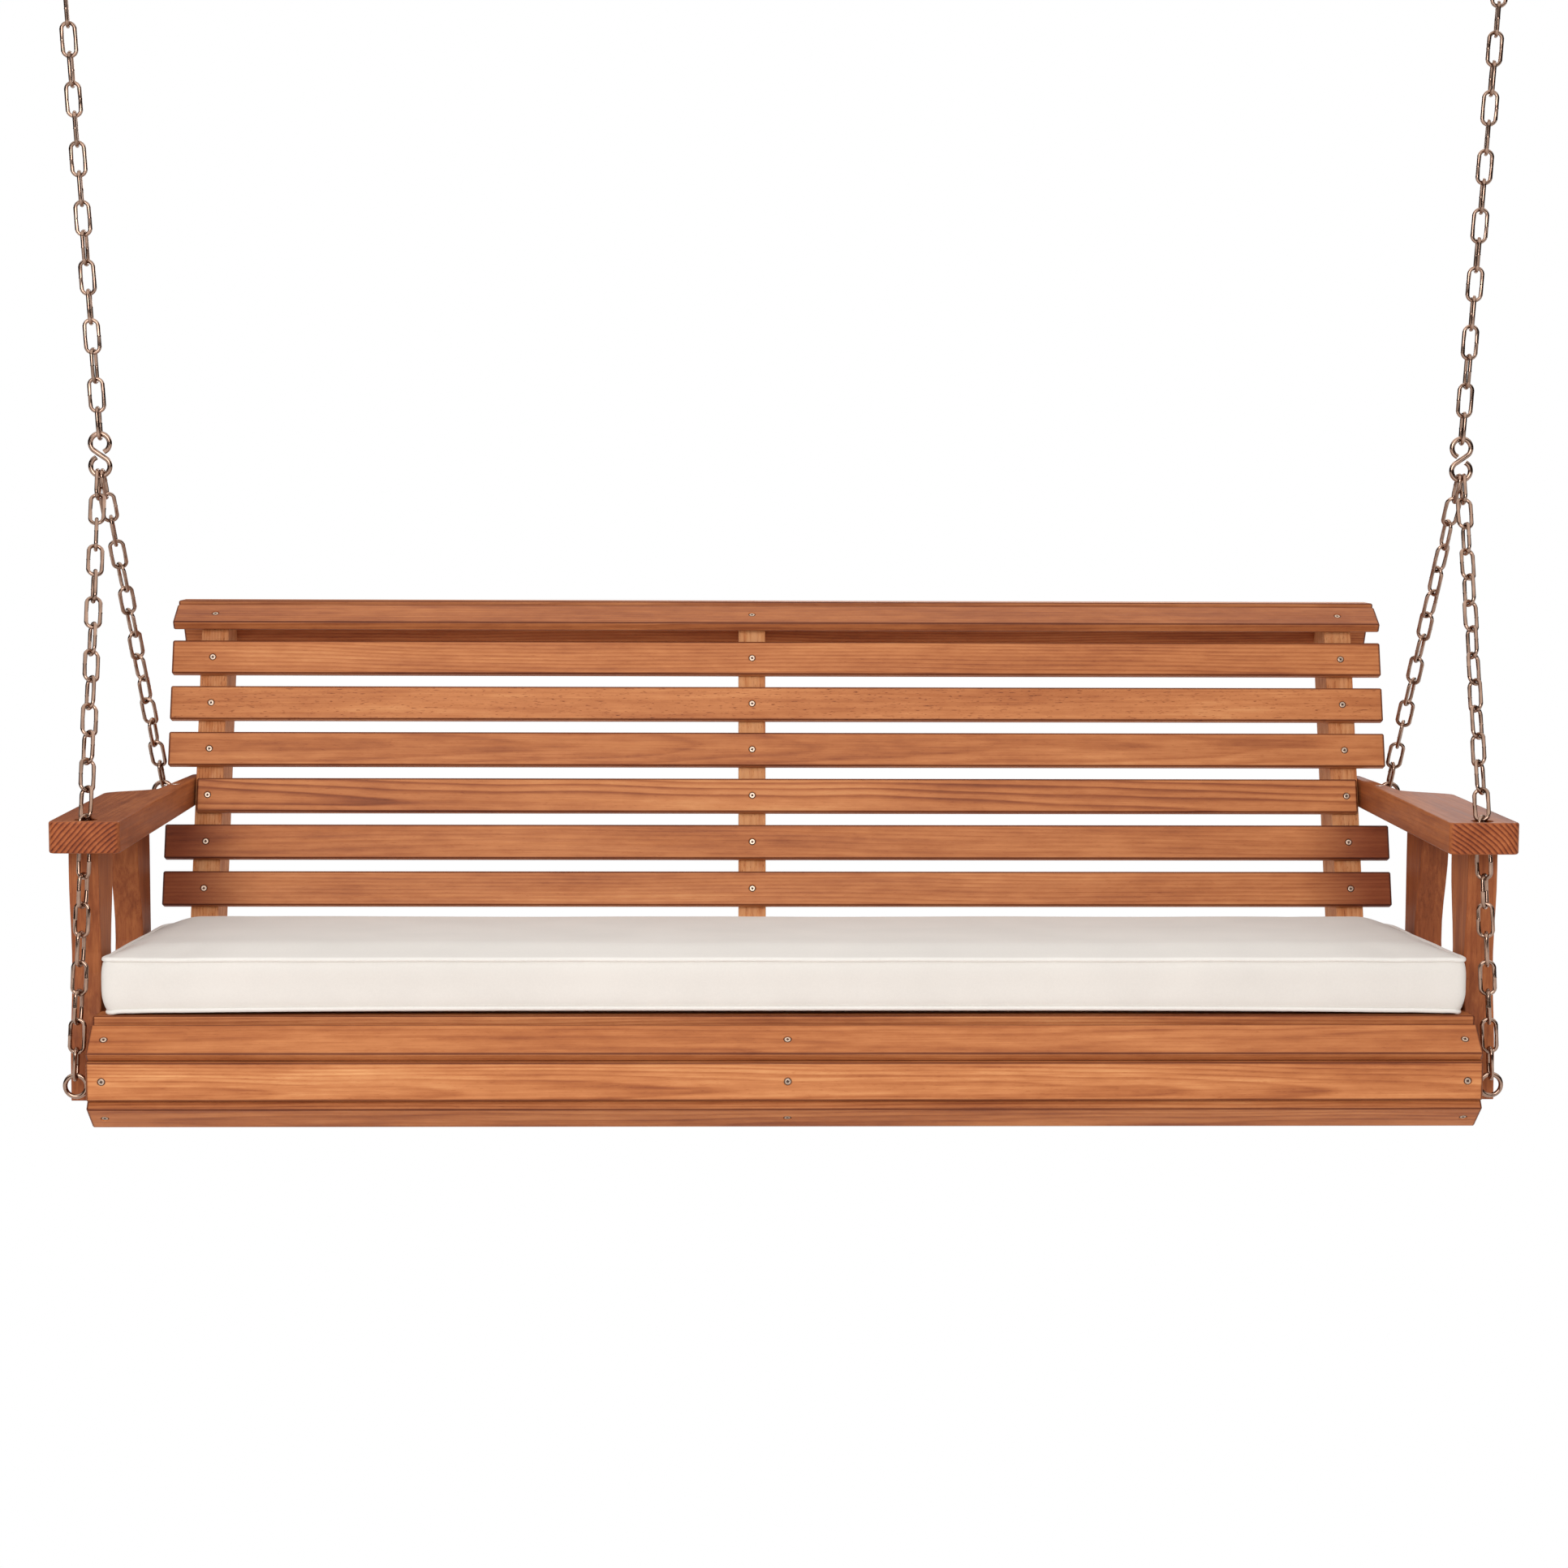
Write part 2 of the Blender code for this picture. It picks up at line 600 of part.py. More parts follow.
def make_ceiling(side, sign):
    """Ceiling plate with two screw holes, and the bail welded under it."""
    name = "ceiling_hook_" + side
    bottom = -BAIL_DROP + BAIL_RADIUS
    sunk = -PLATE[2] + 0.001
    points = [(-BAIL_RADIUS, sunk)] + arc((0, bottom), BAIL_RADIUS, 180, 360, 8) + [(BAIL_RADIUS, sunk)]
    curve = bpy.data.curves.new(name, "CURVE")
    curve.dimensions = "3D"
    curve.bevel_depth = BAIL_WIRE
    curve.bevel_resolution = 2
    curve.use_fill_caps = True
    spline = curve.splines.new("POLY")
    spline.points.add(len(points) - 1)
    for target, (x, z) in zip(spline.points, points):
        target.co = (x, 0, z, 1)
    bail = bpy.data.objects.new(name + "_bail", curve)
    PARTS.objects.link(bail)
    plate = box_mesh(name, PLATE)
    plate.transform(Matrix.Translation((0, 0, -PLATE[2] / 2)))
    hook = joined(name, plate, solid_mesh(bail), None, STEEL)
    hook.location.x = sign * CEILING_X
    for offset in (-PLATE_HOLE_X, PLATE_HOLE_X):
        drill(hook, None, (sign * CEILING_X + offset, 0, 0), PLATE_HOLE_RADIUS, "Z", sides=24)


def hooked_end(anchor, towards, wire):
    """Centre of the end of a link that is hooked round a wire at anchor and pulled towards a point."""
    return anchor - (towards - anchor).normalized() * (wire + WIRE + HOOK_CLEARANCE)


def make_chains(swing_axis, tilt_axis):
    """Every point is in the bench's frame; each run is then drawn from its own axis."""
    bail_height = CEILING_HEIGHT - BAIL_DROP
    bend_height = HOOK_HEIGHT - HOOK_SPREAD - HOOK_RADIUS
    up_origin = Vector((0, HANG_BACK, bail_height))
    low_origin = Vector((0, HANG_BACK, bend_height))
    for side, sign in (("left", -1), ("right", 1)):
        bail = Vector((sign * CEILING_X, HANG_BACK, bail_height))
        hook_top = Vector((sign * HOOK_X, HANG_BACK, HOOK_HEIGHT + HOOK_SPREAD + HOOK_RADIUS))
        stops = [hooked_end(bail, hook_top, BAIL_WIRE), hooked_end(hook_top, bail, HOOK_WIRE)]
        chain("ceiling_chain_" + side, stops, [UPPER_LINKS], swing_axis, up_origin)
        s_hook("s_hook_" + side, sign, swing_axis, up_origin)

        low_hook = Vector((sign * (HOOK_X + BRIDLE_SPREAD), HANG_BACK, bend_height))
        hole = Vector((sign * CHAIN_HOLE[0], CHAIN_HOLE[1], ARM_TOP + CHAIN_BEND_ABOVE_ARM))
        ring_top = Vector((sign * FRONT_EYE[0], FRONT_EYE[1], FRONT_EYE[2] + EYE_RADIUS))
        stops = [hooked_end(low_hook, hole, HOOK_WIRE), hole, hooked_end(ring_top, hole, EYE_WIRE)]
        counts = [FRONT_LINKS_ABOVE_ARM, FRONT_LINKS_BELOW_ARM]
        chain("front_chain_" + side, stops, counts, tilt_axis, low_origin)

        low_hook.x = sign * (HOOK_X - BRIDLE_SPREAD)
        ring_top = Vector((sign * REAR_EYE[0], REAR_EYE[1], REAR_EYE[2] + EYE_RADIUS))
        stops = [hooked_end(low_hook, ring_top, HOOK_WIRE), hooked_end(ring_top, low_hook, EYE_WIRE)]
        chain("rear_chain_" + side, stops, [REAR_LINKS], tilt_axis, low_origin)


def make_cushion(slide_axis):
    """A box cushion that lies on the seat between the posts and pulls off to the front."""
    size = (2 * CUSHION_HALF_LENGTH, CUSHION_DEPTH, CUSHION_THICK)
    cushion = new_part("seat_cushion", box_mesh("seat_cushion", size), slide_axis, FABRIC)
    cushion.location = (0, CUSHION_DEPTH / 2, CUSHION_THICK / 2)
    round_edges(cushion, CUSHION_ROUNDING, 2)


clear_scene()
PARTS = new_collection("porch_swing")
CUTTERS = new_collection("cutters")
WOOD = new_material("stained_wood", (0.45, 0.17, 0.065), 0.5)
UPRIGHT_WOOD = new_material("rough_wood", (0.52, 0.24, 0.11), 0.7)
STEEL = new_material("zinc_steel", (0.62, 0.57, 0.52), 0.3, 1.0)
FABRIC = new_material("cushion_fabric", (0.80, 0.76, 0.70), 0.9)

swing_axis = new_empty("swing_axis", (0, 0, -BAIL_DROP))
hook_drop = CEILING_HEIGHT - BAIL_DROP - (HOOK_HEIGHT - HOOK_SPREAD - HOOK_RADIUS)
tilt_axis = new_empty("tilt_axis", (0, 0, -hook_drop), swing_axis)
bench_height = HOOK_HEIGHT - HOOK_SPREAD - HOOK_RADIUS
bench_frame = new_empty("bench_frame", (0, -HANG_BACK, -bench_height), tilt_axis)
seat_rise = SEAT_FRONT[1] - (CUSHION_FRONT - SEAT_FRONT[0]) * math.tan(SEAT_SLOPE) + 0.0012
slide_axis = new_empty("cushion_slide_axis", (0, CUSHION_FRONT, seat_rise), bench_frame)
slide_axis.rotation_euler.x = -SEAT_SLOPE

for side_name, side_sign in (("left", -1), ("right", 1)):
    make_ceiling(side_name, side_sign)
make_chains(swing_axis, tilt_axis)
make_supports(bench_frame)
make_uprights(bench_frame)
make_slats(bench_frame)
make_arms(bench_frame)
make_eye_bolts(bench_frame)
make_cushion(slide_axis)
bpy.context.view_layer.update()
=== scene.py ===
"""Looks of a porch swing: a stained, slatted softwood bench on zinc-plated chains, with a cushion."""

import json
import math
import random

import bmesh
import bpy
from mathutils import Euler, Matrix, Vector, noise
from mathutils.kdtree import KDTree

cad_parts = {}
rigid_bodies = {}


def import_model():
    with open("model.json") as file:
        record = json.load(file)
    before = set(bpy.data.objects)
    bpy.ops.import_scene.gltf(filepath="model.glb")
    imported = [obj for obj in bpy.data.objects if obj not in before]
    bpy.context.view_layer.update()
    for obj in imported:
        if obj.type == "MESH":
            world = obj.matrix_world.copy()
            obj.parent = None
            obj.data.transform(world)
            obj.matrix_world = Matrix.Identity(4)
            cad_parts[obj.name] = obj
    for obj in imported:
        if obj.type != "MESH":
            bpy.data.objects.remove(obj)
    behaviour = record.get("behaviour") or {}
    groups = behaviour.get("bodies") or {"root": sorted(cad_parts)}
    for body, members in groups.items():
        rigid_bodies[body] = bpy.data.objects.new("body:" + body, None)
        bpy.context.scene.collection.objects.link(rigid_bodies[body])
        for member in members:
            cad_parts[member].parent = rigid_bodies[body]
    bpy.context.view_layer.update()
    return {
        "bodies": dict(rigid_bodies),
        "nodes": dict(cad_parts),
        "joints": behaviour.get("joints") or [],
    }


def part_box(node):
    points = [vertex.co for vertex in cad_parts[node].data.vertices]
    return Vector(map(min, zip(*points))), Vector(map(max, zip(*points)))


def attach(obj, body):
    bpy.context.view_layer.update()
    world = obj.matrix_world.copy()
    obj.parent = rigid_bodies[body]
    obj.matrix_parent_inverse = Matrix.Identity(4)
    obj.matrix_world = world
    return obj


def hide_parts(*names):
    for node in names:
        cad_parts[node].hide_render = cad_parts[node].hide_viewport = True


for old in list(bpy.data.objects):
    bpy.data.objects.remove(old, do_unlink=True)
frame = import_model()
scene = bpy.context.scene


# Camera: in front of the middle of the bench, a little above the backrest, looking slightly down.
camera = bpy.data.objects.new("camera", bpy.data.cameras.new("camera"))
camera.data.sensor_width = 36
camera.data.lens = 68.805
camera.data.clip_end = 100
pitch, yaw, roll = (math.radians(angle) for angle in (5.858, 1.2534, 0.201))
ahead = Vector((math.sin(yaw) * math.cos(pitch), math.cos(yaw) * math.cos(pitch), -math.sin(pitch)))
level_right = ahead.cross(Vector((0, 0, 1))).normalized()
level_up = level_right.cross(ahead)
right = level_right * math.cos(roll) + level_up * math.sin(roll)
up = level_up * math.cos(roll) - level_right * math.sin(roll)
bench_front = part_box("roll_slat_middle")[0].y
camera_place = Matrix.Translation((-0.0856, bench_front - 3.6374, -0.7264))
camera.matrix_world = camera_place @ Matrix((right, up, -ahead)).transposed().to_4x4()
scene.collection.objects.link(camera)
scene.camera = camera


# Studio: a pale floor where the seat is 43 cm high, a white surround that lights the object from above
# and gives its metal a dark horizon to reflect, a broad soft box in front and a weaker one behind.
def wire_up(tree, kind, inputs=(), **settings):
    """Adds a node; inputs maps a socket to a value or to another node's output."""
    node = tree.nodes.new("ShaderNode" + kind)
    for key, value in settings.items():
        setattr(node, key, value)
    for key, value in dict(inputs).items():
        if isinstance(value, bpy.types.NodeSocket):
            tree.links.new(value, node.inputs[key])
        else:
            node.inputs[key].default_value = value
    return node


def ramp_of(tree, value, stops):
    """A colour ramp over a value; a stop's colour is three numbers, or one for a grey."""
    node = wire_up(tree, "ValToRGB", {0: value})
    points = node.color_ramp.elements
    while len(points) < len(stops):
        points.new(0.5)
    for point, (position, colour) in zip(points, stops):
        point.position = position
        point.color = (*colour, 1) if isinstance(colour, tuple) else (colour, colour, colour, 1)
    return node.outputs[0]


scene.view_settings.view_transform = "Standard"
seat_height = 0.43
floor_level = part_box("seat_slat_1")[1].z - seat_height
floor_mesh = bmesh.new()
bmesh.ops.create_grid(
    floor_mesh, x_segments=1, y_segments=1, size=14, matrix=Matrix.Translation((0, 0, floor_level))
)
floor = bpy.data.objects.new("floor", bpy.data.meshes.new("floor"))
floor_mesh.to_mesh(floor.data)
floor_mesh.free()
scene.collection.objects.link(floor)
floor_paint = bpy.data.materials.new("floor_paint")
floor_paint.use_nodes = True
tree = floor_paint.node_tree
paint = tree.nodes["Principled BSDF"]
paint.inputs["Base Color"].default_value = (0.9, 0.89, 0.88, 1)
paint.inputs["Roughness"].default_value = 0.9
paint.inputs["Specular IOR Level"].default_value = 0.1
seen = wire_up(tree, "LightPath").outputs["Is Camera Ray"]
glow = wire_up(tree, "Emission").outputs[0]
floor_look = wire_up(tree, "MixShader", {0: seen, 1: paint.outputs[0], 2: glow})
tree.links.new(floor_look.outputs[0], tree.nodes["Material Output"].inputs[0])
floor.data.materials.append(floor_paint)

surround = bpy.data.worlds.new("surround")
surround.use_nodes = True
scene.world = surround
tree = surround.node_tree
way = wire_up(tree, "SeparateXYZ", {0: wire_up(tree, "TexCoord").outputs["Generated"]}).outputs["Z"]
sky = ramp_of(tree, way, [(0.05, (0.36, 0.35, 0.34)), (0.75, 0.95)])
glint = ramp_of(tree, way, [(0.38, (0.045, 0.030, 0.024)), (0.66, (1.3, 1.25, 1.2))])
tree.links.new(sky, tree.nodes["Background"].inputs["Color"])
sky_light = tree.nodes["Background"].outputs[0]
glint_light = wire_up(tree, "Background", {"Color": glint}).outputs[0]
white = wire_up(tree, "Background", {"Color": (1, 1, 1, 1)}).outputs[0]
ray = wire_up(tree, "LightPath").outputs
lit = wire_up(tree, "MixShader", {0: ray["Is Glossy Ray"], 1: sky_light, 2: glint_light}).outputs[0]
shown = wire_up(tree, "MixShader", {0: ray["Is Camera Ray"], 1: lit, 2: white}).outputs[0]
tree.links.new(shown, tree.nodes["World Output"].inputs[0])


def soft_box(name, place, target, size, watts):
    lamp = bpy.data.objects.new(name, bpy.data.lights.new(name, "AREA"))
    lamp.data.shape = "RECTANGLE"
    lamp.data.size, lamp.data.size_y = size
    lamp.data.energy = watts
    lamp.location = place
    lamp.rotation_euler = (Vector(target) - Vector(place)).to_track_quat("-Z", "Y").to_euler()
    scene.collection.objects.link(lamp)


soft_box("front_box", (-0.6, -4.2, 0.4), (0, 0, -1.2), (3.2, 1.8), 105)
soft_box("rear_box", (1.0, 4.0, 0.6), (0, 0, -1.0), (2.4, 1.4), 30)


# Seat supports: three planed softwood boards on edge, stained a warm orange brown. Their noses are cut
# to carry the front roll. The grain runs front to back.
def maths(tree, operation, *values):
    return wire_up(tree, "Math", enumerate(values), operation=operation).outputs[0]


def vector_maths(tree, operation, *values, result="Vector"):
    return wire_up(tree, "VectorMath", enumerate(values), operation=operation).outputs[result]


def tinted(tree, amount, colour, tint, way="MULTIPLY"):
    sockets = {0: amount, 6: colour, 7: (*tint, 1)}
    return wire_up(tree, "Mix", sockets, data_type="RGBA", blend_type=way).outputs[2]


def spread_noise(tree, where, stretch, detail=2.0, rough=0.5, output="Fac"):
    """Noise drawn out by different amounts along and across the grain."""
    drawn = vector_maths(tree, "MULTIPLY", where, stretch)
    sockets = {"Vector": drawn, "Scale": 1.0, "Detail": detail, "Roughness": rough}
    return wire_up(tree, "TexNoise", sockets).outputs[output]


back_lean = 18.3  # degrees from upright
grain_turns = {
    "front to back": (0, 0, -math.pi / 2),
    "upright": (0, math.pi / 2, 0),
    "up the back": (math.radians(back_lean), math.pi / 2, 0),
    "end to end": (0, 0, 0),
}
stain_shades = [
    (0.0, (0.130, 0.029, 0.010)),
    (0.30, (0.285, 0.078, 0.025)),
    (0.50, (0.420, 0.135, 0.043)),
    (0.70, (0.540, 0.200, 0.070)),
    (1.0, (0.720, 0.345, 0.140)),
]
usual_wood = {
    "tone": 0.5,  # 0 is the darkest stain, 1 the palest
    "rings": 0.28,  # how dark the late wood is on the long faces
    "gap": 0.0042,  # one year's growth, in metres
    "wave": 0.020,  # how far the rings wander, in metres
    "streaks": 0.5,
    "ticks": 0.10,
    "rough": 0.5,
    "dry": 0.0,  # how much of a rough-sawn face took little stain
    "end_rings": 0.42,
    "end_lift": 0.0,
    "end_tint": (0.58, 0.50, 0.48),
    "arm_shadow_reach": 0.0,  # length of a strip's painted arm shadow, which darkens it towards its end, in metres
}


def stained_board(name, grain, pith, edge=None, **own):
    """Gives a board of the frame its wood: growth rings about a pith, fibres, stain and end grain.

    pith is how far the board's middle lies from the heart of the tree, across and through it. edge is a
    strip's lean, half width and half length, which place its dark edge lines (partly painted shade) and
    any painted arm shadow at its ends. own holds what differs from the usual wood.
    """
    look = usual_wood | own
    rings, dry = look["rings"], look["dry"]
    lo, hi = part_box(name)
    chance = random.Random(name)
    tilt = Matrix.Rotation(math.radians(chance.uniform(-0.9, 0.9)), 3, "Z")
    tilt = Matrix.Rotation(math.radians(chance.uniform(-0.7, 0.7)), 3, "Y") @ tilt
    turn = tilt @ Euler(grain_turns[grain]).to_matrix()
    shift = Vector((chance.uniform(3, 40), *pith)) - turn @ ((lo + hi) / 2)
    wood = bpy.data.materials.new("wood_" + name)
    wood.use_nodes = True
    tree = wood.node_tree
    spot = wire_up(tree, "TexCoord").outputs
    placing = {"Vector": spot["Object"], "Location": shift, "Rotation": turn.to_euler()}
    laid = wire_up(tree, "Mapping", placing).outputs[0]

    along = turn.transposed() @ Vector((1, 0, 0))
    facing = vector_maths(tree, "DOT_PRODUCT", spot["Normal"], along, result="Value")
    end_grain = ramp_of(tree, maths(tree, "ABSOLUTE", facing), [(0.6, 0.0), (0.93, 1.0)])

    wander = spread_noise(tree, laid, (1.5, 9, 9), output="Color")
    sway = vector_maths(tree, "SUBTRACT", wander, (0.5, 0.5, 0.5))
    sway = vector_maths(tree, "MULTIPLY", sway, (0, look["wave"], look["wave"]))
    across = vector_maths(tree, "MULTIPLY", vector_maths(tree, "ADD", laid, sway), (0, 1, 1))
    radius = vector_maths(tree, "LENGTH", across, result="Value")
    season = maths(tree, "FRACT", maths(tree, "MULTIPLY", radius, 1 / look["gap"]))
    late = ramp_of(tree, season, [(0.0, 0.15), (0.12, 0.0), (0.45, 0.15), (0.86, 1.0), (1.0, 0.2)])
    late_depth = maths(tree, "MULTIPLY_ADD", end_grain, look["end_rings"] - rings, rings)
    late_shade = maths(tree, "MULTIPLY", late, late_depth)

    fibres = spread_noise(tree, laid, (4, 170, 170), 4.0, 0.62)
    hairs = spread_noise(tree, laid, (9, 480, 480), 3.0, 0.6)
    clouds = spread_noise(tree, laid, (3.2, 24, 24), 3.0)
    blots = spread_noise(tree, laid, (26, 90, 90), 3.0, 0.6)
    ticks = spread_noise(tree, laid, (110, 900, 900), 1.0)
    ticks = ramp_of(tree, ticks, [(0.0, 0.0), (0.64, 0.0), (0.74, 1.0)])

    shade = maths(tree, "MULTIPLY_ADD", late_shade, -1.0, look["tone"] + rings * 0.35)
    shade = maths(tree, "MULTIPLY_ADD", end_grain, look["end_lift"], shade)
    for layer, amount in ((fibres, look["streaks"]), (hairs, 0.30), (clouds, 0.62), (blots, 0.30 + dry)):
        shade = maths(tree, "ADD", shade, maths(tree, "MULTIPLY_ADD", layer, amount, -amount / 2))
    shade = maths(tree, "MULTIPLY_ADD", ticks, -look["ticks"], shade)
    board_colour = ramp_of(tree, shade, stain_shades)
    if dry:
        pale = ramp_of(tree, blots, [(0.40, 0.0), (0.70, dry)])
        board_colour = tinted(tree, pale, board_colour, (0.62, 0.30, 0.155), "MIX")
    board_colour = tinted(tree, end_grain, board_colour, look["end_tint"])
    if edge:
        # A dark line just inside a strip's edges and ends is partly stain gathered there and partly
        # painted shade of the gaps; some strips also carry a painted shadow of the arms towards their
        # ends.
        lean, half_width, half_length = edge
        upward = Vector((0, math.sin(lean), math.cos(lean)))
        rims = []
        for axis, half in ((upward, half_width), (Vector((1, 0, 0)), half_length)):
            off = vector_maths(tree, "DOT_PRODUCT", spot["Object"], axis, result="Value")
            off = maths(tree, "SUBTRACT", off, ((lo + hi) / 2).dot(axis))
            off = maths(tree, "ABSOLUTE", off)
            near = wire_up(tree, "MapRange", {"Value": off, "From Min": half - 0.0034, "From Max": half})
            line = [(0.0, 0.0), (0.55, 1.0), (0.80, 1.0), (0.96, 0.15)]
            rims.append(ramp_of(tree, near.outputs[0], line))
        # Painted shadow of the arms: the strip darkens towards its ends.
        if look["arm_shadow_reach"]:
            start = half_length - look["arm_shadow_reach"]
            arm_shadow = {"Value": off, "From Min": start, "From Max": half_length - 0.02}
            arm_shadow = wire_up(tree, "MapRange", arm_shadow, interpolation_type="SMOOTHSTEP").outputs[0]
            board_colour = tinted(tree, arm_shadow, board_colour, (0.42, 0.26, 0.22))
        # Dark edge lines: stain gathered at the edges, and painted shade where the edges meet the gaps
        # between strips.
        board_colour = tinted(tree, maths(tree, "MAXIMUM", *rims), board_colour, (0.30, 0.20, 0.17))

    shader = tree.nodes["Principled BSDF"]
    shader.inputs["Specular IOR Level"].default_value = 0.20
    gloss = maths(tree, "MULTIPLY_ADD", fibres, 0.22, look["rough"] - 0.11)
    relief = maths(tree, "ADD", fibres, maths(tree, "MULTIPLY_ADD", late, 0.5, hairs))
    bump = wire_up(tree, "Bump", {"Height": relief, "Strength": 0.3 + dry, "Distance": 0.0004})
    tree.links.new(board_colour, shader.inputs["Base Color"])
    tree.links.new(gloss, shader.inputs["Roughness"])
    tree.links.new(bump.outputs[0], shader.inputs["Normal"])
    board = frame["nodes"][name]
    board.data.materials.clear()
    board.data.materials.append(wood)
    return board


def eased_edges(board, width, segments=2):
    """Sanded edges: the board's loose faces are welded, its corners rounded and its faces kept flat."""
    weld = board.modifiers.new("weld", "WELD")
    weld.merge_threshold = 0.00002
    bevel = board.modifiers.new("sanding", "BEVEL")
    bevel.width = width
    bevel.segments = segments
    bevel.limit_method = "ANGLE"
    bevel.angle_limit = math.radians(28)
    board.modifiers.new("flat faces", "WEIGHTED_NORMAL").keep_sharp = True


for name, pith in (("left", (0.05, 0.02)), ("centre", (0.03, 0.06)), ("right", (-0.06, 0.03))):
    eased_edges(stained_board("seat_support_" + name, "front to back", pith, tone=0.42), 0.0016)


# Back uprights: three boards on edge, rough-sawn, so the stain took paler and blotchy on them. They are
# screwed to the sides of the seat supports.
rough_sawn = {"rings": 0.16, "streaks": 0.35, "rough": 0.66, "dry": 0.45, "ticks": 0.45}
uprights = (("left", (0.04, 0.03), 0.74), ("centre", (-0.05, 0.04), 0.88), ("right", (0.06, -0.02), 0.78))
for name, pith, tone in uprights:
    upright = stained_board("back_upright_" + name, "up the back", pith, tone=tone, **rough_sawn)
    eased_edges(upright, 0.0012)


# Slats: planed softwood strips 49 mm wide with eased edges, each face-screwed to every board behind it
# through a countersunk hole. Every strip comes from another part of the tree, so each has its own rings.
slat_leans = {"roll_slat_middle": 0.0, "roll_slat_upper": 51.4, "roll_slat_lower": -51.1}
slat_leans |= {f"seat_slat_{row}": 92.8 for row in range(1, 9)}
slat_leans |= {f"back_slat_{row}": back_lean for row in range(1, 7)}
slat_leans |= {"top_slat_front": 62.0, "top_slat_flat": 90.0, "top_slat_rear": 150.0}
slat_woods = {
    "roll_slat_middle": dict(pith=(0.045, 0.010), tone=0.62, rings=0.22, gap=0.0030, streaks=0.62),
    "roll_slat_upper": dict(pith=(-0.03, 0.07), tone=0.56, rings=0.12, streaks=0.34),
    "roll_slat_lower": dict(pith=(0.04, 0.08), tone=0.50, rings=0.18, streaks=0.42),
    "back_slat_1": dict(pith=(0.06, 0.03), tone=0.62, rings=0.14, streaks=0.36, arm_shadow_reach=0.15),
    "back_slat_2": dict(pith=(-0.04, 0.06), tone=0.54, rings=0.10, streaks=0.36, arm_shadow_reach=0.14),
    "back_slat_3": dict(pith=(0.030, 0.006), tone=0.52, rings=0.40, gap=0.0085, streaks=0.26, wave=0.036),
    "back_slat_4": dict(pith=(0.07, -0.03), tone=0.56, rings=0.16, streaks=0.36),
    "back_slat_5": dict(pith=(-0.05, 0.05), tone=0.60, rings=0.08, streaks=0.28, ticks=0.50),
    "back_slat_6": dict(pith=(0.04, 0.03), tone=0.54, rings=0.18, gap=0.0050, streaks=0.32),
    "top_slat_front": dict(pith=(0.05, 0.06), tone=0.44, rings=0.14, streaks=0.34),
}
slat_thick = 0.014
slat_width = 0.049
screw_bed = 0.0054  # radius of the countersunk hole where it meets the face
screw_head = 0.0037
screw_sunk = 0.0008


def finished_mesh(item):
    """The mesh of an object with its modifiers applied; the object itself is removed."""
    bpy.context.view_layer.update()
    mesh = bpy.data.meshes.new_from_object(item.evaluated_get(bpy.context.evaluated_depsgraph_get()))
    bpy.data.objects.remove(item, do_unlink=True)
    return mesh


def loose_object(name, bm):
    """Puts what a bmesh holds in the scene and empties the bmesh."""
    item = bpy.data.objects.new(name, bpy.data.meshes.new(name))
    bm.to_mesh(item.data)
    bm.clear()
    scene.collection.objects.link(item)
    return item


def screw_blank():
    """One flat-headed screw with its cross slot and a dark ring in its countersink, head up, with the
    face of the wood at z = 0; the slot's floor and the ring are painted shade.
    """
    bm = bmesh.new()
    bmesh.ops.create_cone(
        bm,
        cap_ends=True,
        segments=20,
        radius1=screw_head * 0.55,
        radius2=screw_head,
        depth=0.0020,
        matrix=Matrix.Translation((0, 0, -screw_sunk - 0.0010)),
    )
    top = max(bm.faces, key=lambda face: face.calc_center_median().z)
    bmesh.ops.inset_individual(bm, faces=[top], thickness=screw_head * 0.12)
    bmesh.ops.translate(bm, verts=top.verts[:], vec=(0, 0, 0.00012))
    head = loose_object("screw_blank", bm)
    for turn in (0, math.pi / 2):
        bmesh.ops.create_cube(
            bm,
            size=1,
            matrix=Matrix.Rotation(turn + 0.6, 4, "Z")
            @ Matrix.Translation((0, 0, -screw_sunk))
            @ Matrix.Diagonal((screw_head * 1.05, screw_head * 0.42, 0.0014, 1)),
        )
    slot_tool = loose_object("slot_tool", bm)
    cut = head.modifiers.new("slot", "BOOLEAN")
    cut.object = slot_tool
    cut.use_self = True
    mesh = finished_mesh(head)
    bpy.data.objects.remove(slot_tool, do_unlink=True)
    # The slot's floor gets the dark second material: painted shade in the slot.
    for face in mesh.polygons:
        face.material_index = int(face.normal.z > 0.5 and face.center.z < -screw_sunk - 0.0003)
    bm.from_mesh(mesh)
    # A dark cone ring in the countersink round the head: painted shade of the hole, not a real part.
    shade_ring = bmesh.ops.create_cone(
        bm,
        cap_ends=True,
        segments=20,
        radius1=screw_head * 0.8,
        radius2=screw_bed * 0.88,
        depth=0.0024,
        matrix=Matrix.Translation((0, 0, -0.0026)),
    )
    for vert in shade_ring["verts"]:
        for face in vert.link_faces:
            face.material_index = 1
    bm.to_mesh(mesh)
    bm.free()
    return mesh


def piece_of(name, mesh, body, material):
    """Puts a finished mesh in the scene as a piece that rides on a body."""
    piece = bpy.data.objects.new(name, mesh)
    scene.collection.objects.link(piece)
    mesh.materials.append(material)
    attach(piece, body)
    return piece


